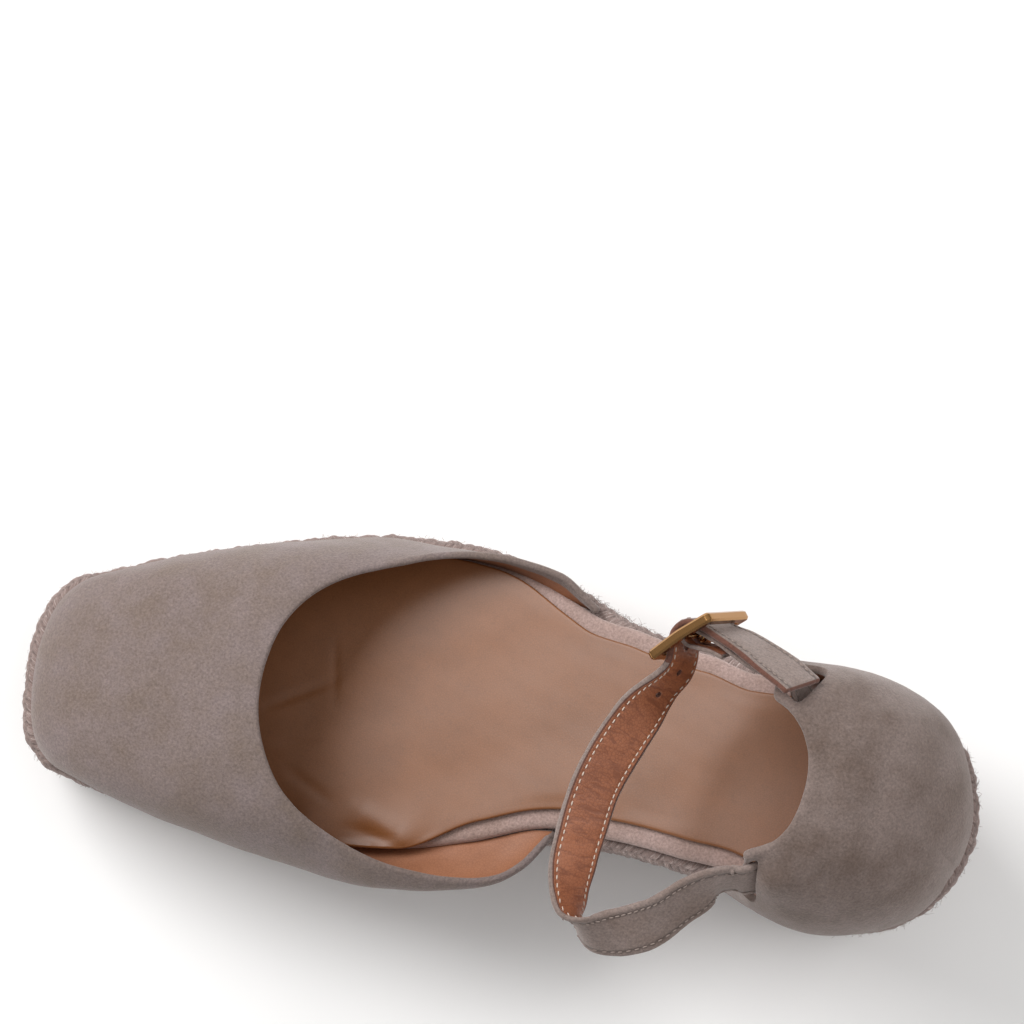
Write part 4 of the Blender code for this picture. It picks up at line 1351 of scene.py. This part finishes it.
class ESPADRILLE_OT_counter(bpy.types.Operator):
    """Build the suede heel counter with its two strap slots and rolled collar"""

    bl_idname = "espadrille.counter"
    bl_label = "Heel counter"

    def execute(self, context):
        settings = context.scene.espadrille.upper
        last = len(COUNTER_ROWS) - 1
        a, b = np.linspace(0.0, last, last * 26 + 1), np.linspace(0.0, 0.99, 84)
        inner, outer = SLOT_SPANS
        mid_b, half_b = (SLOT_LOW + SLOT_HIGH) / 2, (SLOT_HIGH - SLOT_LOW) / 2
        slots = [
            ((inner[0] + INNER_END) / 2, mid_b, (INNER_END - inner[0]) / 2, half_b, 6.0, 2.6),
            (last - (outer[0] + outer[1]) / 2, mid_b, (outer[1] - outer[0]) / 2, half_b, 2.4, 6.0),
        ]
        a, b, holes = cut_holes(*np.meshgrid(a, b, indexing="ij"), slots)
        grid = upper(COUNTER_ROWS, a, b, COUNTER_CREASES, holes=holes, roll=0.35)
        # Painted shade: the counter's suede colours are darker than the vamp's
        suede = brushed_suede("brushed_counter_suede", settings.counter, settings.counter_brown_and_shade)
        lining = lining_leather("dyed_counter_lining", settings)
        piece("suede_counter", [grid], [suede, lining], "heel_counter")
        return {"FINISHED"}


# Straps

# Stitches: half width, half height, rings along one and points round it, and how deep it is pulled in
STITCH_WIDE = 0.19
STITCH_HIGH = 0.17
STITCH_RINGS = 7
STITCH_SIDES = 8
STITCH_SUNK = 0.02

# Stitch furrows: half width, which also spreads their painted shade, depth on the ankle strap and on the
# buckle strap, inset on the latter
FURROW_WIDE = 0.4
ANKLE_FURROW = 0.12
LOOP_FURROW = 0.08
LOOP_STITCH_INSET = 1.6

# Where the stitch rows begin, inside the counter
STITCH_START = 2.0


def strap_path(rows, spacing=0.3):
    """Middle, along, across and facing directions of a strap, its run and its row numbers."""
    path, number = along_rows(rows, spacing)
    mid = path[:, :3]
    along = unit(np.gradient(mid, axis=0))
    across = unit(path[:, 3:] - along * np.sum(path[:, 3:] * along, axis=1, keepdims=True))
    return {
        "mid": mid,
        "along": along,
        "across": across,
        "facing": np.cross(along, across),
        "run": run_of(mid),
        "row": number,
    }


def on_strap(path, key, run):
    """A strap's vectors at given runs."""
    return np.stack([np.interp(run, path["run"], path[key][:, k]) for k in range(3)], -1)


def run_at(path, row):
    """A strap's run at given row numbers."""
    return np.interp(row, path["row"], path["run"])


def strap_sheet(path, width, thick, holes, picks, line, groove, inset, bare=math.inf):
    """Sheet of a strap with rounded edges, stitch furrows and punched holes. Past the run called bare
    its edges show the cut leather."""
    end = thick / 2
    run = np.linspace(path["run"][0] + end, path["run"][-1] - end, int(path["run"][-1] / 0.45))
    side = np.linspace(-0.5, 0.5, 35) * (width - thick)
    u, v, cut = cut_holes(*np.meshgrid(run, side, indexing="ij"), holes)
    mid = on_strap(path, "mid", u) + on_strap(path, "across", u) * v[..., None]
    normal = on_strap(path, "facing", u)
    # Furrow profile of the stitch rows: it sinks the groove and, as a field, sets the painted shade on the
    # suede
    seam = np.exp(-((np.abs(v) - (width / 2 - inset)) / FURROW_WIDE) ** 2)
    flat = np.stack([u, 0.3 * v, 0 * u], -1)
    half = thick / 2 - groove * seam + 0.05 * wander(flat, 1.8, 21) - 0.05
    fields = {"strap_along": u, "strap_across": v, "seam": seam}
    along = np.pad(run, LIP_STEPS, mode="edge")[1:, None]
    cell = np.arange(len(side) + 2 * LIP_STEPS - 1)
    brim = np.minimum(cell, cell[::-1])
    tip = np.arange(len(along))[::-1, None]
    picks = (*picks[:2], np.where((along > bare) & (np.minimum(brim, tip) < 2), line[1], picks[2]))
    return sheet(mid, normal, half, picks, cut, fields, line)


def stitches(lines, settings):
    """Row of stitches as one part, from their middles, along and facing directions."""
    middle, along, face = (np.concatenate(parts) for parts in zip(*lines))
    lat = np.linspace(-1.0, 1.0, STITCH_RINGS)[:, None] * math.pi / 2
    lon = np.arange(STITCH_SIDES) / STITCH_SIDES * 2 * math.pi
    x = (np.sin(lat) + 0 * lon) * settings.stitch_length / MM / 2
    y = np.cos(lat) ** 0.6 * np.cos(lon) * STITCH_WIDE
    z = np.cos(lat) ** 0.6 * np.sin(lon) * STITCH_HIGH
    x, y, z = (k.reshape(1, -1, 1) for k in (x, y, z))
    points = middle[:, None] + along[:, None] * x + np.cross(face, along)[:, None] * y + face[:, None] * z
    cell = quads(STITCH_RINGS, STITCH_SIDES, wrap_cols=True).reshape(-1, 4)
    starts = np.arange(len(middle))[:, None, None] * STITCH_RINGS * STITCH_SIDES
    return {"points": points, "faces": (cell[None] + starts).reshape(-1, 4).tolist()}


def stitch_row(path, start, end, across, out, settings):
    """Middles, along and facing directions of a straight row of stitches on one side of a strap."""
    run = np.arange(start, end, settings.stitch_pitch / MM)
    face = on_strap(path, "facing", run) * np.sign(out)
    middle = on_strap(path, "mid", run) + on_strap(path, "across", run) * across + face * abs(out)
    return middle, unit(on_strap(path, "along", run)), face


# Punched holes of the ankle strap, back from the buckle's front end
HOLE_PLACES = (-0.1, 7.2)


class ESPADRILLE_OT_straps(bpy.types.Operator):
    """Build the ankle strap and the buckle strap with their stitches"""

    bl_idname = "espadrille.straps"
    bl_label = "Straps"

    def execute(self, context):
        settings = context.scene.espadrille.strap
        suede = brushed_suede("brushed_strap_suede", settings.suede, settings.suede_brown, 0.24, seam=True)
        inside = drum_dyed_leather(
            "dyed_strap_leather", settings.inside, settings.inside_dark, 0.9, 0.45, 0.08, wrinkled=True
        )
        cut = brushed_suede("cut_leather_edge", settings.cut, settings.cut, 0.1)
        thread = waxed_thread("waxed_thread", settings.thread)
        tonal = waxed_thread("tonal_thread", settings.tone_thread)
        self.ankle(settings, [suede, inside, cut], thread, tonal)
        self.loop(settings, [suede, inside, cut], tonal)
        return {"FINISHED"}

    def ankle(self, settings, leathers, thread, tonal):
        places = [*SLOT_ROWS, (SLOT_MOUTH, STRAP_RISE)]
        rows = [beside_counter(SLOT_SPANS[0][0] + back, out, STRAP_SEAT) for back, out in places]
        rows += [list(r) for r in FRONT_ROWS]
        first = len(rows)
        rows += [in_buckle(*r) for r in THROUGH_ROWS]
        rows += [list(r) for r in FREE_ROWS]
        path = strap_path(rows)
        start, end = run_at(path, [first + 1.7, first + 3.7])
        hole = settings.hole / MM / 2
        inset = settings.stitch_inset / MM
        holes = [((start + end) / 2, 0.0, (end - start) / 2, 1.6, 2.6, 2.6)]
        holes += [(run_at(path, first) - back, 0.0, hole, hole, 2.0, 2.0) for back in HOLE_PLACES]
        free = run_at(path, first + 1.0)
        part = strap_sheet(
            path, STRAP_WIDTH, STRAP_THICK, holes, (1, 0, 0), (0, 2), ANKLE_FURROW, inset, free
        )
        piece("suede_ankle_strap", [part], leathers, "ankle_strap")
        start, end = path["run"][0] + STITCH_START, path["run"][-1] - inset
        across = STRAP_WIDTH / 2 - inset
        out = STRAP_THICK / 2 - STITCH_SUNK
        light = [stitch_row(path, start, end, side * across, out, settings) for side in (-1, 1)]
        dark = [stitch_row(path, start, end, side * across, -out, settings) for side in (-1, 1)]
        piece("ankle_strap_stitches", [stitches(light, settings)], [thread])
        piece("ankle_strap_tonal_stitches", [stitches(dark, settings)], [tonal])

    def loop(self, settings, leathers, tonal):
        front = len(COUNTER_ROWS) - 1 - SLOT_SPANS[1][0]
        places = [*SLOT_ROWS, (SLOT_MOUTH, LOOP_RISE)]
        rows = [beside_counter(front - back, out, LOOP_SEAT) for back, out in places]
        first = len(rows)
        rows += [in_buckle(*r) for r in LOOP_ROWS]
        path = strap_path(rows)
        start, end = run_at(path, [first + 2.7, first + 9.3])
        holes = [((start + end) / 2, 0.0, (end - start) / 2, 1.4, 3.0, 3.0)]
        inset = LOOP_STITCH_INSET
        part = strap_sheet(path, LOOP_WIDTH, LOOP_THICK, holes, (0, 1, 0), (1, 2), LOOP_FURROW, inset)
        piece("suede_buckle_strap", [part], leathers, "buckle_strap")
        end = run_at(path, first + 1.0)
        across = LOOP_WIDTH / 2 - inset
        out = LOOP_THICK / 2 - STITCH_SUNK
        rows = [stitch_row(path, STITCH_START, end, side * across, out, settings) for side in (-1, 1)]
        piece("buckle_strap_stitches", [stitches(rows, settings)], [tonal])


# Buckle

# Softening of the frame's inner edges, points round the bar and the prong, points along the bar
FRAME_SOFT = 0.3
ROUND_POINTS = 12
BAR_POINTS = 21

# Prong: half width, half thickness, length of its tapered tip and how much narrower it ends
PRONG_WIDE = 1.1
PRONG_THICK = 0.5
PRONG_TIP = 5.0
PRONG_TAPER = 0.35


def rounded_frame(length, width, radius):
    """Rounded rectangle as a loop of points, the same number on each side and corner."""
    loop = []
    for turn, (x, y) in enumerate(((1, 1), (-1, 1), (-1, -1), (1, -1))):
        middle = np.array([x * (length / 2 - radius), y * (width / 2 - radius)])
        angle = np.radians(np.linspace(0.0, 90.0, 8) + 90.0 * turn)
        loop.append(middle + radius * np.stack([np.cos(angle), np.sin(angle)], -1))
    sides = []
    for near, far in zip(loop, loop[1:] + loop[:1]):
        share = np.linspace(0.0, 1.0, 14)[1:-1, None]
        sides += [near, near[-1] + (far[0] - near[-1]) * share]
    return np.concatenate(sides)


class ESPADRILLE_OT_buckle(bpy.types.Operator):
    """Build the gilt centre-bar buckle and its prong"""

    bl_idname = "espadrille.buckle"
    bl_label = "Buckle"

    def execute(self, context):
        settings = context.scene.espadrille.buckle
        gilt = gilt_brass(settings)
        d, w, n = buckle_axes()
        centre = np.asarray(FRAME_CENTRE)
        top = FRAME_THICK / 2
        bevel = settings.bevel / MM
        radius = settings.corner / MM
        flank = FRAME_RAIL - FRAME_SOFT
        shoulder = top - FRAME_SOFT
        section = (
            (0.0, bevel - top), (0.0, top - bevel), (bevel, top), (flank, top),
            (FRAME_RAIL, shoulder), (FRAME_RAIL, -shoulder), (flank, -top), (bevel, -top),
        )
        columns = []
        for inset, height in section:
            corner = max(radius - inset, FRAME_SOFT)
            loop = rounded_frame(FRAME_LENGTH - 2 * inset, FRAME_WIDTH - 2 * inset, corner)
            rise = height - FRAME_BEND * np.abs(loop[:, :1])
            columns.append(centre + loop[:, :1] * d + loop[:, 1:] * w + rise * n)
        points = np.stack(columns, 1)
        faces = quads(*points.shape[:2], wrap_rows=True, wrap_cols=True).reshape(-1, 4).tolist()
        parts = [{"points": points, "faces": faces}]

        turn = np.arange(ROUND_POINTS) / ROUND_POINTS * 2 * math.pi
        circle = np.stack([np.cos(turn), np.sin(turn)], -1)
        reach = np.linspace(-0.5, 0.5, BAR_POINTS)[:, None] * (FRAME_WIDTH - FRAME_RAIL)
        bar = centre + reach * w + (top - BAR_DROP - BAR_THICK / 2) * n
        side, up = (np.broadcast_to(way, bar.shape) for way in (d, n))
        parts.append(tube(bar, side, up, circle * [BAR_WIDTH / 2, BAR_THICK / 2]))
        made = piece("gilt_frame", parts, [gilt], "buckle_frame")
        made.data.set_sharp_from_angle(angle=math.radians(35.0))

        path = strap_path([in_buckle(*r) for r in PRONG_ROWS], 0.25)
        end = path["run"][-1]
        taper = 1.0 - PRONG_TAPER * ramp(path["run"], end - PRONG_TIP, end)
        section = circle[None] * [PRONG_WIDE, PRONG_THICK] * taper[:, None, None]
        prong = tube(path["mid"], path["across"], path["facing"], section)
        piece("gilt_prong", [prong], [gilt], "buckle_prong")
        return {"FINISHED"}


# Stage

def painted_board(settings):
    """Matt white board under the shoe."""
    made, tree, shader = blank("matt_white_board")
    wire(tree, shader, {"Base Color": rgba(settings.floor), "Roughness": 0.9}, {})
    return made


def soft_light(name, place, size, power):
    """Square softbox that faces the shoe."""
    lamp = bpy.data.lights.new(name, "AREA")
    lamp.size = size
    lamp.energy = power
    made = bpy.data.objects.new(name, lamp)
    made.location = place
    made.rotation_euler = (Vector(LIGHT_AIM) - Vector(place)).to_track_quat("-Z", "Y").to_euler()
    bpy.context.scene.collection.objects.link(made)


class ESPADRILLE_OT_stage(bpy.types.Operator):
    """Set up the pale floor, the soft light and the camera"""

    bl_idname = "espadrille.stage"
    bl_label = "Stage"

    def execute(self, context):
        settings = context.scene.espadrille.stage
        scene = context.scene
        mesh = bpy.data.meshes.new("floor")
        ends = ((-1, -1), (1, -1), (1, 1), (-1, 1))
        corners = [(x * FLOOR_HALF, y * FLOOR_HALF, -FLOOR_DROP) for x, y in ends]
        mesh.from_pydata(corners, [], [(0, 1, 2, 3)])
        mesh.materials.append(painted_board(settings))
        floor = bpy.data.objects.new("floor", mesh)
        scene.collection.objects.link(floor)

        world = bpy.data.worlds.new("studio")
        scene.world = world
        world.use_nodes = True
        tree = world.node_tree
        way = node(tree, "TexCoord", out="Generated")
        rise = node(tree, "SeparateXYZ", links={"Vector": way}, out="Z")
        span = {"From Min": 0.1, "From Max": 0.9, "To Min": settings.horizon, "To Max": settings.fill}
        strength = node(tree, "MapRange", span, {"Value": rise})
        wire(tree, tree.nodes["Background"], {"Color": (1.0, 1.0, 1.0, 1.0)}, {"Strength": strength})
        soft_light("key_softbox", KEY_PLACE, KEY_SIZE, settings.key)
        soft_light("back_softbox", BACK_PLACE, BACK_SIZE, settings.back)

        scene.view_settings.view_transform = "Standard"
        lens = bpy.data.cameras.new("camera")
        lens.lens = CAMERA_LENS
        lens.sensor_width = CAMERA_SENSOR
        camera = bpy.data.objects.new("camera", lens)
        a, e = math.radians(CAMERA_AZIMUTH), math.radians(CAMERA_ELEVATION)
        back = Vector((math.sin(a) * math.cos(e), -math.cos(a) * math.cos(e), math.sin(e)))
        target = Vector((np.array(CAMERA_TARGET) - ORIGIN) * MM)
        camera.location = target + back * CAMERA_DISTANCE * MM
        camera.rotation_euler = (-back).to_track_quat("-Z", "Y").to_euler()
        scene.collection.objects.link(camera)
        scene.camera = camera
        return {"FINISHED"}


class ESPADRILLE_PT_sidebar(bpy.types.Panel):
    """Buttons that build the shoe's pieces"""

    bl_idname = "ESPADRILLE_PT_sidebar"
    bl_label = "Espadrille"
    bl_space_type = "VIEW_3D"
    bl_region_type = "UI"
    bl_category = "Espadrille"

    def draw(self, context):
        for operator in OPERATORS:
            self.layout.operator(operator.bl_idname)


SETTINGS = (
    SoleSettings,
    UpperSettings,
    FootbedSettings,
    StrapSettings,
    BuckleSettings,
    StageSettings,
    EspadrilleSettings,
)
OPERATORS = (
    ESPADRILLE_OT_outsole,
    ESPADRILLE_OT_rope_sole,
    ESPADRILLE_OT_footbed,
    ESPADRILLE_OT_vamp,
    ESPADRILLE_OT_counter,
    ESPADRILLE_OT_straps,
    ESPADRILLE_OT_buckle,
    ESPADRILLE_OT_stage,
)
CLASSES = (*SETTINGS, *OPERATORS, ESPADRILLE_PT_sidebar)


def register():
    for made in CLASSES:
        bpy.utils.register_class(made)
    bpy.types.Scene.espadrille = PointerProperty(type=EspadrilleSettings)


def unregister():
    del bpy.types.Scene.espadrille
    for made in reversed(CLASSES):
        bpy.utils.unregister_class(made)


def main():
    register()
    bpy.ops.espadrille.outsole()
    bpy.ops.espadrille.rope_sole()
    bpy.ops.espadrille.footbed()
    bpy.ops.espadrille.vamp()
    bpy.ops.espadrille.counter()
    bpy.ops.espadrille.straps()
    bpy.ops.espadrille.buckle()
    bpy.ops.espadrille.stage()
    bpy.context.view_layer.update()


if __name__ == "__main__":
    main()
